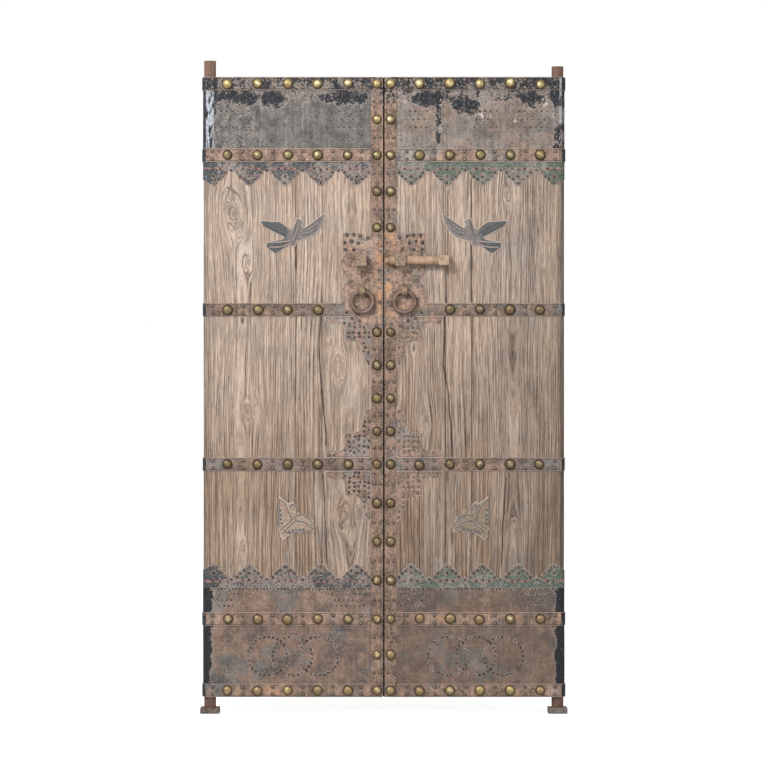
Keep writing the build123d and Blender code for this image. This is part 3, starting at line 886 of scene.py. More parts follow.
def all_over(amount):
    """A paint zone that covers a whole piece evenly."""
    return ("Z", -2.0, -1.0, amount)


def lobe_edge():
    """The scalloped edge of one lobe from pendant to pendant, with arcs between its cusps."""
    half = [LOBE_SIDE[0][:2]]
    for (au, ah, _), (bu, bh, bulge) in zip(LOBE_SIDE, LOBE_SIDE[1:]):
        run = math.hypot(bu - au, bh - ah)
        for k in range(1, 6):
            t = k / 5
            out = 4.0 * t * (1.0 - t) * bulge / run
            half.append((au + t * (bu - au) + out * (bh - ah), ah + t * (bh - ah) - out * (bu - au)))
    return [(-u, h) for u, h in reversed(half[1:])] + half


def border_outline(node):
    """Outline of a border up to its last tip: distance from the meeting line and absolute height."""
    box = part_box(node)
    hangs = "top" in node
    tip, base = (float(box[0][2]), float(box[1][2])) if hangs else (float(box[1][2]), float(box[0][2]))
    away = 1.0 if hangs else -1.0
    edge = []
    for k in range(LOBES):
        edge += [(LOBE_START + k * LOBE_PITCH + u, tip + away * h) for u, h in lobe_edge()]
    last = LOBE_START + (LOBES - 1) * LOBE_PITCH
    edge = [(u, z) for u, z in edge if STRAP_EDGE < u < last] + [(last, tip)]
    return [(STRAP_EDGE, edge[0][1])] + edge + [(last, base), (STRAP_EDGE, base)]


def plate_from_outline(name, points, front, thick):
    """A flat plate filled from an outline of the front view, by way of a filled curve."""
    curve = bpy.data.curves.new(name, "CURVE")
    curve.dimensions = "2D"
    curve.fill_mode = "BOTH"
    curve.extrude = thick / 2 - PLATE_ROUND
    curve.bevel_depth = PLATE_ROUND
    curve.offset = -PLATE_ROUND
    line = curve.splines.new("POLY")
    line.points.add(len(points) - 1)
    for point, (x, z) in zip(line.points, points):
        point.co = (x, z, 0.0, 1.0)
    line.use_cyclic_u = True
    piece = bpy.data.objects.new(name, curve)
    bpy.context.scene.collection.objects.link(piece)
    piece.rotation_euler = (math.pi / 2, 0.0, 0.0)
    piece.location = (0.0, front + thick / 2, 0.0)
    take(piece)
    bpy.ops.object.convert(target="MESH")
    bpy.ops.object.transform_apply(location=True, rotation=True, scale=True)
    piece = bpy.context.object
    edit(piece)
    bpy.ops.mesh.remove_doubles(threshold=0.00001)
    bpy.ops.mesh.dissolve_limited(angle_limit=math.radians(1.0))
    bpy.ops.mesh.normals_make_consistent(inside=False)
    bpy.ops.object.mode_set(mode="OBJECT")
    return piece


def scalloped(side, sign, name, iron):
    """A border with cusped lobes; its end round the leaf's outer edge is a worn copy of the CAD node."""
    sizes = bpy.context.scene.door_sizes
    node = "%s_%s" % (side, name)
    ring = border_outline(node)
    points = [(sign * u, z) for u, z in ring]
    plate = plate_from_outline(node + "_scalloped", points, SHEET_FRONT, BOARD_FRONT - SHEET_FRONT)
    last = LOBE_START + (LOBES - 1) * LOBE_PITCH
    end = merged_copy(node, node + "_end")
    edit(end)
    bpy.ops.mesh.bisect(
        plane_co=(sign * last, 0.0, 0.0), plane_no=(sign, 0.0, 0.0), clear_inner=True, use_fill=True
    )
    bpy.ops.object.mode_set(mode="OBJECT")
    take(plate)
    end.select_set(True)
    bpy.ops.object.join()
    slice_grid(plate, 2, 0.005)
    slice_grid(plate, 0, 0.005)
    places = points_of(plate)
    across = np.abs(places[:, 0])
    beyond = OUTER + 0.1
    rise = 0.08 if "top" in name else -0.08
    edge = ring[:-2] + [(beyond, ring[-3][1] + rise)]
    keep_value(plate, "rim", edge_distance(across, places[:, 2], np.array(edge + edge[::-1])))
    tip = ring[-3][1]
    beside = (across - LOBE_START + LOBE_PITCH / 2) % LOBE_PITCH - LOBE_PITCH / 2
    keep_value(plate, "lobe", np.column_stack((beside, np.zeros_like(beside), np.abs(places[:, 2] - tip))))
    hammer(plate, sizes.dent_depth * 0.7, 0.05, 9 + sign)
    finish_piece(plate, iron, side + "_leaf", "sheet_iron", node)


def forged(node, body, material, slot, pitch=(0.016, 0.016), dent=1.0, rim=False, seed=0, size=0.09):
    """A worn copy of a CAD node: rounded edges and an uneven surface.

    With rim, the distance to its outline is kept for the material. With "rows", it is the distance to its
    upper and lower edge.
    """
    sizes = bpy.context.scene.door_sizes
    ring = outline_of(node) if rim is True else None
    piece = merged_copy(node, node + "_worn")
    round_edges(piece, sizes.edge_round, 2, 40.0)
    for axis, step in ((2, pitch[1]), (0, pitch[0])):
        if step:
            slice_grid(piece, axis, step)
    if rim:
        places = points_of(piece)
        height = places[:, 2]
        rows = np.minimum(height - height.min(), height.max() - height)
        keep_value(piece, "rim", rows if rim == "rows" else edge_distance(places[:, 0], height, ring))
    hammer(piece, sizes.dent_depth * dent, size, seed)
    finish_piece(piece, material, body, slot, node)
    return piece


KICK_EDGE = ("X", OUTER - 0.055, OUTER - 0.008, 0.9)
# stains and chalk of the sheets: middle, half width and half height in metres, share; seams: axis and place
LEFT_STAINS = (("oval", 0.41, 2.295, 0.06, 0.05, 0.3), ("oval", 0.14, 2.305, 0.11, 0.045, 0.2))
LEFT_SEAMS = (("X", 0.4605), ("X", 0.367), ("X", 0.304))
RIGHT_STAINS = (
    ("oval", 0.31, 2.27, 0.07, 0.045, 0.45), ("oval", 0.205, 2.215, 0.017, 0.14, 0.5),
    ("oval", 0.15, 2.3, 0.06, 0.04, 0.3), ("oval", 0.56, 2.29, 0.06, 0.04, 0.25),
)
RIGHT_CHALK = (
    ("oval", 0.376, 2.235, 0.06, 0.033, 0.2), ("oval", 0.5, 2.229, 0.033, 0.033, 0.18),
    ("oval", 0.604, 2.294, 0.025, 0.028, 0.2), ("oval", 0.069, 2.294, 0.03, 0.022, 0.2),
    ("oval", 0.213, 2.229, 0.01, 0.12, 0.18), ("oval", 0.288, 2.229, 0.022, 0.034, 0.14),
)
KICK_STAINS = (("oval", 0.118, 0.43, 0.13, 0.07, 0.12), ("oval", 0.567, 0.43, 0.12, 0.07, 0.12))
RIGHT_SEAMS = (("X", 0.229), ("X", 0.301))


class DOOR_OT_sheets(bpy.types.Operator):
    """Model the dented iron sheets at head and foot"""

    bl_idname = "temple_door.sheets"
    bl_label = "Sheets"

    def execute(self, context):
        tones = context.scene.door_colours
        black = tones.black_paint_and_gap_shade
        head = ("Z", HEAD - 0.13, HEAD - 0.07, 0.42)
        flaky = ("X", 0.46, 0.51, 0.2)
        low = ("Z", ROWS[4] + 0.03, ROWS[4] + 0.07, 0.12)
        top = {
            "left": iron_finish(
                "left_top_iron", 0.64, black, (OUTER_EDGE, head, flaky, *LEFT_STAINS), 0.0, 0.9,
                film=tones.sheet_grey, contrast=0.9, blue=0.3, glints=1.5, wide=0.044, seams=LEFT_SEAMS,
            ),
            "right": iron_finish(
                "right_top_iron", 0.93, black, (OUTER_EDGE, head, *RIGHT_STAINS), -0.1, 0.6,
                film=tones.sheet_brown, contrast=0.85, blue=0.5, glints=1.0,
                chalk=0.75, chalk_zones=RIGHT_CHALK, seams=RIGHT_SEAMS,
            ),
        }
        kick = {
            "left": iron_finish(
                "left_kick_iron", 0.84, black, (KICK_EDGE, low, all_over(0.02)), 0.12, 0.75,
                contrast=0.7, blue=0.85, flecks=0.12,
            ),
            "right": iron_finish(
                "right_kick_iron", 0.68, black, (KICK_EDGE, low), 0.12, 0.75,
                contrast=0.66, blue=0.5, blue_zones=KICK_STAINS, flecks=0.1,
            ),
        }
        for side, sign in SIDES:
            leaf = side + "_leaf"
            forged(side + "_top_sheet", leaf, top[side], "sheet_iron", dent=1.5, seed=3 + sign, size=0.14)
            forged(side + "_kick_sheet", leaf, kick[side], "sheet_iron", dent=1.5, seed=6 + sign, size=0.16)
        return {"FINISHED"}


class DOOR_OT_borders(bpy.types.Operator):
    """Model the scalloped borders"""

    bl_idname = "temple_door.borders"
    bl_label = "Scalloped borders"

    def execute(self, context):
        tones = context.scene.door_colours
        for side, sign in SIDES:
            paint = tones.blue_film if side == "left" else tones.green_paint
            zones = (OUTER_EDGE, all_over(0.44 if side == "left" else 0.5))
            iron = iron_finish(side + "_border_iron", 0.95, paint, zones, 0.12, 0.45, rim="red", lobes=True)
            for name in ("top_border", "bottom_border"):
                scalloped(side, sign, name, iron)
        return {"FINISHED"}


class DOOR_OT_bands(bpy.types.Operator):
    """Model the forged cross bands"""

    bl_idname = "temple_door.bands"
    bl_label = "Cross bands"

    def execute(self, context):
        black = context.scene.door_colours.black_paint_and_gap_shade
        end = ("X", OUTER - 0.016, OUTER - 0.006, 0.7)
        for side, _ in SIDES:
            painted = iron_finish(
                side + "_top_band_iron", 0.77, black, (OUTER_EDGE, all_over(0.5)), 0.2, 0.5,
                rim="bare", glints=0.7,
            )
            plain = iron_finish(side + "_band_iron", 1.0, black, (end,), 0.25, 0.75, rim="bare", glints=0.3)
            dark = iron_finish(
                side + "_dark_band_iron", 0.84, black, (end, all_over(0.08)), 0.2, 0.65, rim="bare", blue=0.5
            )
            rusty = iron_finish(
                side + "_low_band_iron", 1.03, black, (end, all_over(0.04)), 0.44, 0.8, rim="bare", blue=0.5
            )
            finishes = (painted, plain, dark, dark, rusty, rusty)
            for k, iron in enumerate(finishes, 1):
                node = "%s_band_%d" % (side, k)
                pitch = (0.022, 0.0125)
                forged(node, side + "_leaf", iron, "wrought_iron", pitch, 0.55, "rows", 12 + k, 0.06)
        return {"FINISHED"}


class DOOR_OT_straps(bpy.types.Operator):
    """Model the upright straps along the meeting edges"""

    bl_idname = "temple_door.straps"
    bl_label = "Edge straps"

    def execute(self, context):
        tones = context.scene.door_colours
        head = ("Z", ROWS[0] - 0.15, ROWS[0] - 0.022, 0.46)
        zones = (all_over(-0.05), head)
        iron = iron_finish("strap_iron", 0.84, tones.black_paint_and_gap_shade, zones, 0.34, 0.95, gap=True)
        pitch = (0.012, 0.022)
        for side, _ in SIDES:
            node = side + "_edge_strap"
            forged(node, side + "_leaf", iron, "wrought_iron", pitch, 0.5, False, 20, 0.06)
        return {"FINISHED"}


class DOOR_OT_lock_plates(bpy.types.Operator):
    """Model the two halves of the cloud-shaped lock plate"""

    bl_idname = "temple_door.lock_plates"
    bl_label = "Lock plates"

    def execute(self, context):
        iron = iron_finish(
            "lock_plate_iron", 1.06, rust=0.34, warm=0.85, rim="bare", rust_zones=(("X", 0.07, 0.0, 0.2),),
            contrast=1.05, gap=True,
        )
        pitch = (0.006, 0.006)
        for side, _ in SIDES:
            node = side + "_lock_plate"
            forged(node, side + "_leaf", iron, "wrought_iron", pitch, 0.8, True, 24, 0.07)
        return {"FINISHED"}


class DOOR_OT_corner_plates(bpy.types.Operator):
    """Model the scalloped corner plates"""

    bl_idname = "temple_door.corner_plates"
    bl_label = "Corner plates"

    def execute(self, context):
        tones = context.scene.door_colours
        for side, sign in SIDES:
            share, warm = (0.16, 0.6) if side == "left" else (0.02, 0.85)
            zones = (all_over(share),)
            iron = iron_finish(side + "_corner_iron", 1.0, tones.black_paint_and_gap_shade, zones, 0.2, warm, rim="red")
            for name in ("upper", "middle", "lower"):
                node = "%s_corner_plate_%s" % (side, name)
                forged(node, side + "_leaf", iron, "wrought_iron", (0.006, 0.006), 1.2, True, 27 + sign, 0.03)
        return {"FINISHED"}


# raised lines of the ornaments, in shares of their width from the meeting line and of their height
BIRD_LINES = (
    ((0.56, 0.5), (0.74, 0.67), (0.95, 0.79)), ((0.6, 0.46), (0.78, 0.58), (0.92, 0.72)),
    ((0.35, 0.58), (0.2, 0.72), (0.03, 0.95)), ((0.37, 0.52), (0.22, 0.6), (0.06, 0.84)),
    ((0.4, 0.46), (0.26, 0.48), (0.12, 0.64)), ((0.44, 0.8), (0.46, 0.6), (0.52, 0.4)),
    ((0.56, 0.27), (0.72, 0.21), (0.86, 0.22)), ((0.56, 0.23), (0.7, 0.13), (0.83, 0.11)),
)
BIRD_FLANKS = (((0.53, 0.32), (0.7, 0.29), (0.87, 0.28)), ((0.53, 0.25), (0.7, 0.17), (0.85, 0.17)))
BIRD_BODY = ((0.41, 0.83), (0.42, 0.64), (0.46, 0.42), (0.5, 0.26))
BUTTERFLY_LINES = (
    ((0.62, 0.44), (0.74, 0.7), (0.86, 0.86), (0.96, 0.93)), ((0.965, 0.93), (0.975, 0.6), (0.97, 0.3)),
    ((0.94, 0.22), (0.78, 0.34), (0.6, 0.47), (0.47, 0.57)),
    ((0.84, 0.2), (0.72, 0.28), (0.6, 0.38), (0.5, 0.46)),
    ((0.47, 0.57), (0.305, 0.58), (0.145, 0.5), (0.1, 0.41)), ((0.52, 0.43), (0.3, 0.41), (0.06, 0.26)),
    ((0.5, 0.6), (0.5, 0.72), (0.56, 0.8), (0.64, 0.8), (0.68, 0.73)),
    ((0.3, 0.5), (0.24, 0.52), (0.17, 0.46)),
    ((0.88, 0.16), (0.79, 0.19), (0.7, 0.155), (0.61, 0.19), (0.52, 0.165), (0.43, 0.2), (0.34, 0.19),
     (0.25, 0.22), (0.16, 0.21), (0.07, 0.24)),
)
BUTTERFLY_CELLS = (((0.69, 0.52), (0.8, 0.68), (0.91, 0.82)), ((0.46, 0.37), (0.3, 0.34), (0.15, 0.28)))
BUTTERFLY_BEADS = (
    (0.93, 0.68), (0.925, 0.575), (0.92, 0.475), (0.9, 0.38), (0.7, 0.2), (0.6, 0.225),
    (0.5, 0.225), (0.4, 0.24), (0.31, 0.245),
)


class DOOR_OT_ornaments(bpy.types.Operator):
    """Model the beaten bird and butterfly ornaments"""

    bl_idname = "temple_door.ornaments"
    bl_label = "Birds and butterflies"

    def execute(self, context):
        tones = context.scene.door_colours
        bird = ornament_finish("bird_iron", tones.bird_grey, tones.bird_dark, 0.36)
        fills = {
            "left": (tones.butterfly_tan, tones.bird_grey),
            "right": (tones.butterfly_olive, tones.dirt_and_shade_dark),
        }
        for side, sign in SIDES:
            butterfly = ornament_finish(side + "_butterfly_iron", *fills[side], 0.6)
            lines = [(line, 0.0014, 0.0012, 1.0) for line in BIRD_LINES]
            lines += [(line, 0.002, 0.0012, 0.5) for line in BIRD_FLANKS]
            beaten_ornament(side, sign, "bird", bird, lines + [(BIRD_BODY, 0.0075, -0.0012, 0.0)])
            lines = [(line, 0.0042, -0.0012, 0.5) for line in BUTTERFLY_LINES]
            lines += [(line, 0.0021, 0.0016, 1.0) for line in BUTTERFLY_LINES]
            lines += [(cell, 0.0052, -0.0022, 0.25) for cell in BUTTERFLY_CELLS]
            beaten_ornament(side, sign, "butterfly", butterfly, lines, BUTTERFLY_BEADS)
        return {"FINISHED"}


def raised_line(points, radius):
    """A round raised line through points of the front of an ornament, thinner at its ends."""
    curve = bpy.data.curves.new("line", "CURVE")
    curve.dimensions = "3D"
    curve.bevel_depth = radius
    curve.bevel_resolution = 2
    curve.resolution_u = 5
    curve.use_fill_caps = True
    line = curve.splines.new("BEZIER")
    line.bezier_points.add(len(points) - 1)
    for k, (point, place) in enumerate(zip(line.bezier_points, points)):
        point.co = place
        point.handle_left_type = "AUTO"
        point.handle_right_type = "AUTO"
        middle = 1.0 - abs(2.0 * k / (len(points) - 1) - 1.0)
        point.radius = 0.65 + 0.35 * middle
    piece = bpy.data.objects.new("line", curve)
    bpy.context.scene.collection.objects.link(piece)
    take(piece)
    bpy.ops.object.convert(target="MESH")
    return bpy.context.object


def beaten_ornament(side, sign, name, iron, lines, beads=()):
    """A domed copy of the CAD plate with beads and raised lines of points, radius, lift and kind."""
    node = "%s_%s" % (side, name)
    ring = outline_of(node)
    low, high = corners(node)
    start = min(abs(low[0]), abs(high[0]))

    def place(a, b, lift):
        return (sign * (start + a * (high[0] - low[0])), low[1] - lift, low[2] + b * (high[2] - low[2]))

    piece = merged_copy(node, node + "_beaten")
    slice_grid(piece, 0, 0.0035)
    slice_grid(piece, 2, 0.0035)
    places = points_of(piece)
    rim = edge_distance(places[:, 0], places[:, 2], ring)
    dome = 0.0022 * (1.0 - np.exp(-rim / 0.008)) - 0.001
    places[:, 1] -= np.where(places[:, 1] < BOARD_FRONT - 0.001, dome, 0.0)
    put_points(piece, places)
    keep_value(piece, "rim", rim)
    keep_value(piece, "line", np.zeros(len(rim)))
    parts = []
    for points, radius, lift, kind in lines:
        part = raised_line([place(a, b, lift) for a, b in points], radius)
        keep_value(part, "line", np.full(len(part.data.vertices), kind))
        parts.append(part)
    for a, b in beads:
        part = half_ball(0.0042, 0.0036, 8, 6)
        part.location = place(a, b, 0.0004)
        keep_value(part, "line", np.ones(len(part.data.vertices)))
        parts.append(part)
    for part in parts:
        keep_value(part, "rim", np.full(len(part.data.vertices), 0.01))
    take(piece)
    for part in parts:
        part.select_set(True)
    bpy.ops.object.join()
    finish_piece(piece, iron, side + "_leaf", "sheet_iron", node, angle=50.0)


# Studs and nails

# random spin of a head, and how far a stud strays from its place
FULL_TURN = 6.28
STUD_STRAY = 0.0012
# height of the small rings above a lobe's tip
RING_LIFT = 0.036
# nails of the lock plate: millimetres from the meeting line and above the foot
PLATE_NAILS = (
    (138, 1732), (112, 1732), (88, 1728), (146, 1704), (121, 1708), (96, 1703), (142, 1678), (113, 1677),
    (60, 1722), (92, 1412), (119, 1420), (140, 1442),
)
EDGE_NAILS = ((12, 1672), (124, 1560), (18, 1567), (62, 1396), (28, 1396), (14, 1480), (14, 1600))
# interlaced rings of dots: nails in each, half width, half height and height of the middle in millimetres
DOT_RING = (27, 74, 72, 154)


def half_ball(radius, height, around, rings, brim=0.0):
    """A domed head on the XZ plane at the origin, pointing to the front, with an optional pressed brim."""
    deselect()
    bpy.ops.mesh.primitive_uv_sphere_add(segments=around, ring_count=rings, radius=1.0)
    piece = bpy.context.object
    edit(piece)
    bpy.ops.mesh.bisect(plane_co=(0, 0, 0), plane_no=(0, 0, 1), clear_inner=True, use_fill=True)
    bpy.ops.object.mode_set(mode="OBJECT")
    keep_value(piece, "crown", 0.1 + 0.9 * points_of(piece)[:, 2])
    if brim:
        deselect()
        bpy.ops.mesh.primitive_cylinder_add(vertices=around, radius=brim, depth=0.3)
        piece.select_set(True)
        bpy.context.view_layer.objects.active = piece
        bpy.ops.object.join()
    places = points_of(piece)
    places = np.column_stack((places[:, 0] * radius, -places[:, 2] * height, places[:, 1] * radius))
    put_points(piece, places)
    return piece


def spread(master, name, places, chance, tilt=0.06):
    """Copies of one head at all places, each a little different, joined into one piece."""
    copies = []
    for x, y, z, grow in places:
        copy = master.copy()
        copy.data = master.data.copy()
        bpy.context.scene.collection.objects.link(copy)
        size = grow * chance.uniform(0.93, 1.06)
        copy.scale = (size, size * chance.uniform(0.88, 1.08), size * chance.uniform(0.95, 1.05))
        lean = chance.uniform(-tilt, tilt)
        spin = chance.uniform(0.0, FULL_TURN)
        copy.rotation_euler = (lean, spin, chance.uniform(-tilt, tilt))
        copy.location = (x, y, z)
        copies.append(copy)
    deselect()
    for copy in copies:
        copy.select_set(True)
    bpy.context.view_layer.objects.active = copies[0]
    bpy.ops.object.join()
    piece = bpy.context.object
    bpy.ops.object.transform_apply(location=True, rotation=True, scale=True)
    piece.name = name
    edit(piece)
    bpy.ops.mesh.normals_make_consistent(inside=False)
    bpy.ops.object.mode_set(mode="OBJECT")
    return piece


def strap_levels():
    """Heights of the studs on the straps, from the top down."""
    upper = (ROWS[1] - PLATE_HIGH - 0.02) / 2
    middle = (PLATE_LOW - 0.02 - ROWS[3]) / 4
    levels = [ROWS[0], (ROWS[0] + ROWS[1]) / 2, ROWS[1], ROWS[1] - upper, ROWS[1] - 2 * upper]
    levels += [ROWS[3] + k * middle for k in (4, 3, 2, 1, 0)]
    levels += [ROWS[3] + (ROWS[4] - ROWS[3]) * k / 4 for k in (1, 2, 3)]
    return levels + [ROWS[4], (ROWS[4] + ROWS[5]) / 2, ROWS[5]]


class DOOR_OT_studs(bpy.types.Operator):
    """Model the domed brass studs"""

    bl_idname = "temple_door.studs"
    bl_label = "Brass studs"

    def execute(self, context):
        brass = brass_finish("tarnished_brass")
        chance = np.random.default_rng(11)
        master = half_ball(0.0185, 0.014, 20, 12, 1.08)
        for side, sign in SIDES:
            spots = []
            for row, (z, front) in enumerate(zip(ROWS, BAND_FRONTS)):
                for k, u in enumerate(STUD_COLUMNS):
                    if row == 2 and k == 0:
                        continue
                    x = sign * (u + chance.normal(0, STUD_STRAY))
                    spots.append((x, front, z + chance.normal(0, STUD_STRAY), 1.0))
            for z in strap_levels():
                spots.append((sign * STRAP_MIDDLE, STRAP_FRONT, z, 0.95))
            piece = spread(master, side + "_stud_heads", spots, chance)
            finish_piece(piece, brass, side + "_leaf", "brass", side + "_studs", angle=70.0)
        discard(master)
        return {"FINISHED"}


def band_nails(radius):
    """Pairs of nails between the studs of the bands and the straps."""
    spots = []
    middles = [0.085] + [u + STUD_PITCH / 2 for u in STUD_COLUMNS]
    for row, (z, front) in enumerate(zip(ROWS, BAND_FRONTS)):
        for u in middles[2 if row == 2 else 0:]:
            for lift in (-0.0145, 0.0145):
                spots.append((u, front, z + lift, radius))
    levels = strap_levels()
    for high, low in zip(levels, levels[1:]):
        if high > PLATE_HIGH > low:
            continue
        for shift in (-0.0115, 0.0115):
            spots.append((STRAP_MIDDLE + shift, STRAP_FRONT, (high + low) / 2, radius * 0.9))
    return spots


def lobe_nails(radius):
    """Nails on the lobes of the borders."""
    spots = []
    pattern = ((0.0, 0.013), (-0.019, 0.027), (0.019, 0.027), (-0.034, 0.037), (0.034, 0.037), (0.0, 0.036),
               (-0.045, 0.052), (0.045, 0.052), (-0.066, 0.06), (0.0, 0.062), (-0.024, 0.066), (0.024, 0.066))
    for k in range(LOBES):
        tip = LOBE_START + LOBE_PITCH * k
        for du, dz in pattern:
            u = tip + du
            if STRAP_EDGE + 0.006 < u < OUTER - 0.024:
                spots.append((u, SHEET_FRONT, TOP_TIP + dz, radius))
                spots.append((u, SHEET_FRONT, LOW_TIP - dz, radius))
    return spots


def rosette_places(sign):
    """Middles of the small raised rings on the lobes."""
    places = []
    for k in range(LOBES):
        x = sign * (LOBE_START + LOBE_PITCH * k)
        for z in (TOP_TIP + RING_LIFT, LOW_TIP - RING_LIFT):
            places.append((x, SHEET_FRONT, z, 1.0))
    return places


def plate_nails(table, radius):
    """Nails of the lock plate."""
    return [(u * MM, PLATE_FRONT, FOOT + h * MM, radius) for u, h in table]


def corner_nails(radius, chance):
    """Close rows of nails on the corner plates."""
    spots = []
    for name in ("upper", "middle", "lower"):
        ring = outline_of("right_corner_plate_" + name)
        xs = np.arange(ring[:, 0].min(), ring[:, 0].max(), 0.0185)
        zs = np.arange(ring[:, 1].min(), ring[:, 1].max(), 0.0185)
        grid_x, grid_z = (g.ravel() for g in np.meshgrid(xs + 0.006, zs + 0.006))
        grid_x = grid_x + chance.normal(0, 0.0022, grid_x.shape)
        grid_z = grid_z + chance.normal(0, 0.0022, grid_z.shape)
        fits = inside(grid_x, grid_z, ring) & (edge_distance(grid_x, grid_z, ring) > 0.0065)
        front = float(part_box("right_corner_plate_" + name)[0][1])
        spots += [(x, front, z, radius) for x, z in zip(grid_x[fits], grid_z[fits])]
    return spots


def dot_nails(side, radius):
    """Rows, clusters and interlaced rings of small nails on the sheets."""
    spots = []
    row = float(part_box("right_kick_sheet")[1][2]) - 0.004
    u = STRAP_EDGE + 0.008
    while u < OUTER - 0.03:
        spots.append((u, SHEET_FRONT, row, radius * 0.9))
        u += 0.0131
    top = {"left": ((505, 618), (85, 176)), "right": ((98, 170), (338, 428), (507, 616))}[side]
    low = {"left": ((547, 625), (74, 194)), "right": ((64, 166), (514, 623))}[side]
    for groups, levels, pitch in ((top, (2197, 2166, 2137), 21.0), (low, (386, 364, 343), 17.0)):
        for start, end in groups:
            for number, h in enumerate(levels):
                at = start + (number % 2) * pitch * 0.5
                while at < end:
                    spots.append((at * MM, SHEET_FRONT, FOOT + h * MM, radius * 0.85))
                    at += pitch
    middles = {"left": (244, 343, 436), "right": (241, 345, 448)}[side]
    count, half_width, half_height, level = DOT_RING
    for middle in middles:
        for k in range(count):
            angle = 2 * math.pi * k / count
            x, z = middle + half_width * math.cos(angle), level + half_height * math.sin(angle)
            spots.append((x * MM, SHEET_FRONT, FOOT + z * MM, radius))
    return spots


class DOOR_OT_nails(bpy.types.Operator):
    """Model the small nail heads on bands, borders, plates and sheets"""

    bl_idname = "temple_door.nails"
    bl_label = "Nails"

    def execute(self, context):
        sizes = context.scene.door_sizes
        tones = context.scene.door_colours
        brown = nail_finish("brown_nail_iron", tones.nail_brown, 0.5)
        dark = nail_finish("dark_nail_iron", tones.nail_black, 0.4)
        dots = nail_finish("dot_nail_iron", tones.nail_black, 0.6)
        chance = np.random.default_rng(23)
        big = half_ball(1.0, 0.85, 10, 8)
        small = half_ball(1.0, 0.6, 8, 6, 1.5)
        deselect()
        bpy.ops.mesh.primitive_torus_add(
            major_radius=0.0098, minor_radius=0.0015, major_segments=16, minor_segments=5,
            rotation=(math.pi / 2, 0.0, 0.0),
        )
        bpy.ops.object.transform_apply(location=True, rotation=True, scale=True)
        rosette = context.object
        for side, sign in SIDES:
            piece = spread(rosette, side + "_lobe_rings", rosette_places(sign), chance, 0.03)
            finish_piece(piece, brown, side + "_leaf", "wrought_iron", angle=70.0)
            corner = dark if side == "left" else brown
            groups = (
                ("band_nails", big, brown, band_nails(sizes.band_nail)),
                ("lobe_nails", small, dark, lobe_nails(sizes.small_nail)),
                ("plate_nails", small, dark, plate_nails(PLATE_NAILS, sizes.plate_nail)),
                ("edge_nails", small, brown, plate_nails(EDGE_NAILS, sizes.plate_nail)),
                ("corner_nails", small, corner, corner_nails(sizes.small_nail, chance)),
                ("dot_nails", small, dots, dot_nails(side, sizes.dot_nail)),
            )
            for name, master, iron, spots in groups:
                places = [(sign * x, y + 0.0004, z, r) for x, y, z, r in spots]
                piece = spread(master, "%s_%s" % (side, name), places, chance, 0.1)
                finish_piece(piece, iron, side + "_leaf", "wrought_iron", angle=70.0)
        for master in (big, small, rosette):
            discard(master)
        return {"FINISHED"}


# Bolt and pulls


def keep_front(piece):
    """Keep for the material how far each point of a bar lies in front, from -1 at the back to 1."""
    depth = points_of(piece)[:, 1]
    middle, half = (depth.max() + depth.min()) / 2, (depth.max() - depth.min()) / 2
    keep_value(piece, "front", (middle - depth) / half)


class DOOR_OT_bolt(bpy.types.Operator):
    """Model the slide bolt and its staples"""

    bl_idname = "temple_door.bolt"
    bl_label = "Slide bolt and staples"

    def execute(self, context):
        tones = context.scene.door_colours
        bar = iron_finish("bolt_iron", 1.2, rust=0.2, contrast=0.7, warm=1.2, film=tones.bolt_tan, rub=True)
        staple = iron_finish("staple_iron", 0.9, rust=0.3, warm=1.2, film=tones.staple_olive, rub=True)
        piece = merged_copy("slide_bolt", "slide_bolt_worn")
        round_edges(piece, 0.0016, 3, 40.0)
        slice_grid(piece, 0, 0.006)
        keep_front(piece)
        hammer(piece, 0.0012, 0.03, 41)
        finish_piece(piece, bar, "slide_bolt", "wrought_iron", "slide_bolt")
        for side, sign in SIDES:
            node = side + "_bolt_staple"
            piece = merged_copy(node, node + "_worn")
            round_edges(piece, 0.0028, 3, 40.0)
            slice_grid(piece, 0, 0.006)
            slice_grid(piece, 2, 0.006)
            keep_front(piece)
            hammer(piece, 0.0008, 0.02, 47 + sign)
            finish_piece(piece, staple, side + "_leaf", "wrought_iron", node)
        return {"FINISHED"}


class DOOR_OT_pulls(bpy.types.Operator):
    """Model the pull rings and their staples"""

    bl_idname = "temple_door.pulls"
    bl_label = "Ring pulls"

    def execute(self, context):
        tones = context.scene.door_colours
        iron = iron_finish(
            "ring_iron", 0.72, rust=0.2, warm=1.2, film=tones.ring_brown,
            contrast=0.7, rub=True, dull=0.28, gloss=0.5,
        )
        strap = iron_finish("ring_staple_iron", 0.9, rust=0.3, warm=1.2, film=tones.staple_olive)
        for side, sign in SIDES:
            node = side + "_pull_ring"
            low, high = corners(node)
            middle = (low + high) / 2
            deselect()
            bar = (high[1] - low[1]) / 2
            bpy.ops.mesh.primitive_torus_add(
                major_radius=(high[0] - low[0]) / 2 - bar, minor_radius=bar,
                major_segments=72, minor_segments=18,
                location=tuple(middle), rotation=(math.pi / 2, 0.0, 0.0),
            )
            bpy.ops.object.transform_apply(location=True, rotation=True, scale=True)
            piece = bpy.context.object
            piece.name = node + "_worn"
            keep_front(piece)
            hammer(piece, 0.0007, 0.02, 45 + sign)
            finish_piece(piece, iron, node, "wrought_iron", node, angle=70.0)
            node = side + "_ring_staple"
            piece = merged_copy(node, node + "_worn")
            round_edges(piece, 0.0012, 3, 50.0)
            slice_grid(piece, 0, 0.004)
            finish_piece(piece, strap, side + "_leaf", "wrought_iron", node, angle=50.0)
        return {"FINISHED"}


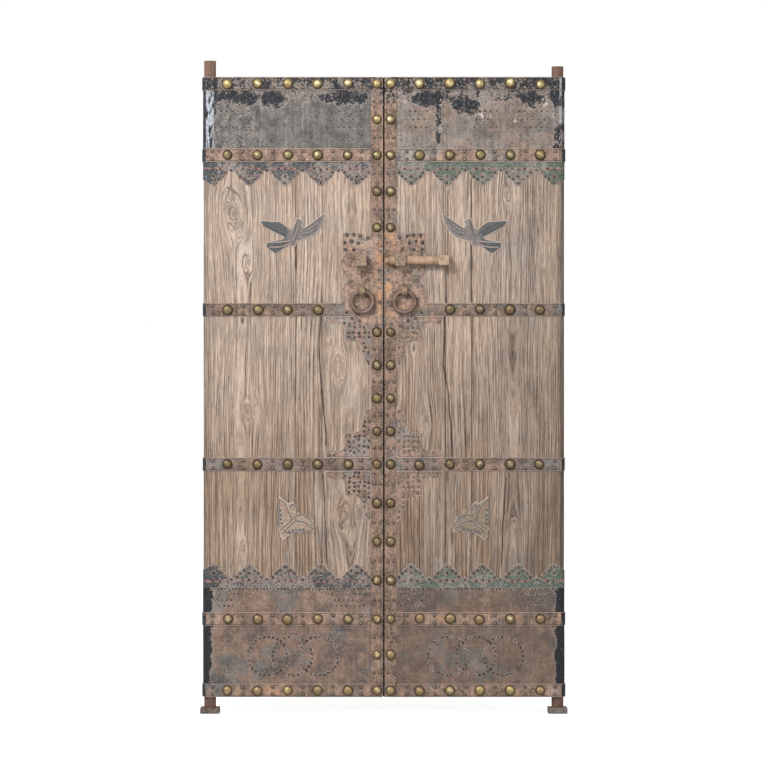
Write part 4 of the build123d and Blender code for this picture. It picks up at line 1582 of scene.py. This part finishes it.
class DOOR_OT_cups(bpy.types.Operator):
    """Model the iron cups under the bottom pins"""

    bl_idname = "temple_door.cups"
    bl_label = "Pivot cups"

    def execute(self, context):
        iron = iron_finish("cup_iron", 0.7, rust=0.25, warm=0.6)
        piece = merged_copy("pivot_cups", "pivot_cups_worn")
        round_edges(piece, 0.0018, 3, 40.0)
        finish_piece(piece, iron, "sill", "wrought_iron", "pivot_cups")
        return {"FINISHED"}


# Stage

WHITE = (1.0, 1.0, 1.0, 1.0)
# strength of the room's light and of the floor's own
ROOM_LIGHT = 0.38
FLOOR_GLOW = 0.72
# the camera's distance, place across and height above the foot, and the width that the photo shows, in metres
CAMERA_AWAY = 11.0
CAMERA_ACROSS = 0.0008
CAMERA_UP = 1.1738
PHOTO_WIDTH = 2.88
SENSOR = 36.0


def lamp(name, place, target, size, power):
    """A soft square lamp aimed at a point."""
    light = bpy.data.lights.new(name, "AREA")
    light.size = size
    light.energy = power
    holder = bpy.data.objects.new(name, light)
    holder.location = place
    aim = np.array(target) - np.array(place)
    tilt = math.atan2(math.hypot(aim[0], aim[1]), -aim[2])
    holder.rotation_euler = (tilt, 0.0, math.atan2(aim[0], -aim[1]) + math.pi)
    bpy.context.scene.collection.objects.link(holder)


class DOOR_OT_stage(bpy.types.Operator):
    """Set the floor, the soft light and the camera"""

    bl_idname = "temple_door.stage"
    bl_label = "Stage"

    def execute(self, context):
        scene = context.scene
        deselect()
        bpy.ops.mesh.primitive_plane_add(size=30.0, location=(0.0, 0.0, 0.0))
        floor = context.object
        floor.name = "floor"
        edit(floor)
        bpy.ops.mesh.subdivide(number_cuts=6)
        bpy.ops.object.mode_set(mode="OBJECT")
        f = Finish("floor_white")
        f.shader.inputs["Base Color"].default_value = (0.8, 0.8, 0.8, 1.0)
        f.shader.inputs["Roughness"].default_value = 1.0
        seen = f.node("ShaderNodeLightPath", out="Is Camera Ray")
        glow = f.node("ShaderNodeEmission", None, {"Color": WHITE, "Strength": FLOOR_GLOW * seen})
        both = f.node("ShaderNodeAddShader", None, {0: Wire(f, f.shader.outputs[0]), 1: glow})
        f.tree.links.new(both.socket, f.tree.nodes["Material Output"].inputs["Surface"])
        floor.data.materials.append(f.material)

        world = bpy.data.worlds.new("white_room")
        scene.world = world
        world.use_nodes = True
        tree = world.node_tree
        tree.nodes.clear()
        kinds = ("LightPath", "OutputWorld", "Background", "Background", "MixShader", "Math", "Math")
        made = [tree.nodes.new("ShaderNode" + kind) for kind in kinds]
        path, out, soft, white, mix, either, both = made
        either.operation = "MAXIMUM"
        both.operation = "MAXIMUM"
        soft.inputs["Strength"].default_value = ROOM_LIGHT
        soft.inputs["Color"].default_value = WHITE
        white.inputs["Color"].default_value = WHITE
        wires = (
            (path.outputs["Is Camera Ray"], either.inputs[0]),
            (path.outputs["Is Glossy Ray"], either.inputs[1]),
            (either.outputs[0], both.inputs[0]), (path.outputs["Is Transmission Ray"], both.inputs[1]),
            (both.outputs[0], mix.inputs[0]), (soft.outputs[0], mix.inputs[1]),
            (white.outputs[0], mix.inputs[2]), (mix.outputs[0], out.inputs[0]),
        )
        for start, end in wires:
            tree.links.new(start, end)

        lamp("key", (-2.6, -4.0, 4.8), (0.0, 0.0, 1.2), 1.3, 285.0)
        lamp("fill", (3.4, -4.6, 2.2), (0.0, 0.0, 1.1), 2.6, 70.0)

        camera = bpy.data.cameras.new("front")
        holder = bpy.data.objects.new("front", camera)
        holder.location = (CAMERA_ACROSS, -CAMERA_AWAY, FOOT + CAMERA_UP)
        holder.rotation_euler = (math.pi / 2, 0.0, 0.0)
        camera.sensor_width = SENSOR
        camera.lens = SENSOR * (CAMERA_AWAY + BOARD_FRONT) / PHOTO_WIDTH
        camera.clip_end = 100.0
        scene.collection.objects.link(holder)
        scene.camera = holder
        scene.view_settings.view_transform = "Standard"
        return {"FINISHED"}


class DOOR_PT_panel(bpy.types.Panel):
    """The steps of the door, in order"""

    bl_idname = "DOOR_PT_panel"
    bl_label = "Temple Door"
    bl_space_type = "VIEW_3D"
    bl_region_type = "UI"
    bl_category = "Temple Door"

    def draw(self, context):
        for step in STEPS:
            self.layout.operator(step.bl_idname)
        for group in (context.scene.door_sizes, context.scene.door_colours):
            box = self.layout.box()
            for name in group.__annotations__:
                box.prop(group, name)


STEPS = (
    DOOR_OT_boards, DOOR_OT_battens, DOOR_OT_sheets, DOOR_OT_borders, DOOR_OT_bands, DOOR_OT_straps,
    DOOR_OT_lock_plates, DOOR_OT_corner_plates, DOOR_OT_ornaments, DOOR_OT_studs, DOOR_OT_nails,
    DOOR_OT_bolt, DOOR_OT_pulls, DOOR_OT_cups, DOOR_OT_stage,
)
CLASSES = (DoorSizes, DoorColours, *STEPS, DOOR_PT_panel)


def register():
    """Make the settings, steps and panel known."""
    for item in CLASSES:
        bpy.utils.register_class(item)
    bpy.types.Scene.door_sizes = bpy.props.PointerProperty(type=DoorSizes)
    bpy.types.Scene.door_colours = bpy.props.PointerProperty(type=DoorColours)


def unregister():
    """Take them out again."""
    del bpy.types.Scene.door_colours
    del bpy.types.Scene.door_sizes
    for item in reversed(CLASSES):
        bpy.utils.unregister_class(item)


def main():
    """Run all steps in order."""
    register()
    for step in STEPS:
        group, name = step.bl_idname.split(".")
        getattr(getattr(bpy.ops, group), name)()


if __name__ == "__main__":
    main()
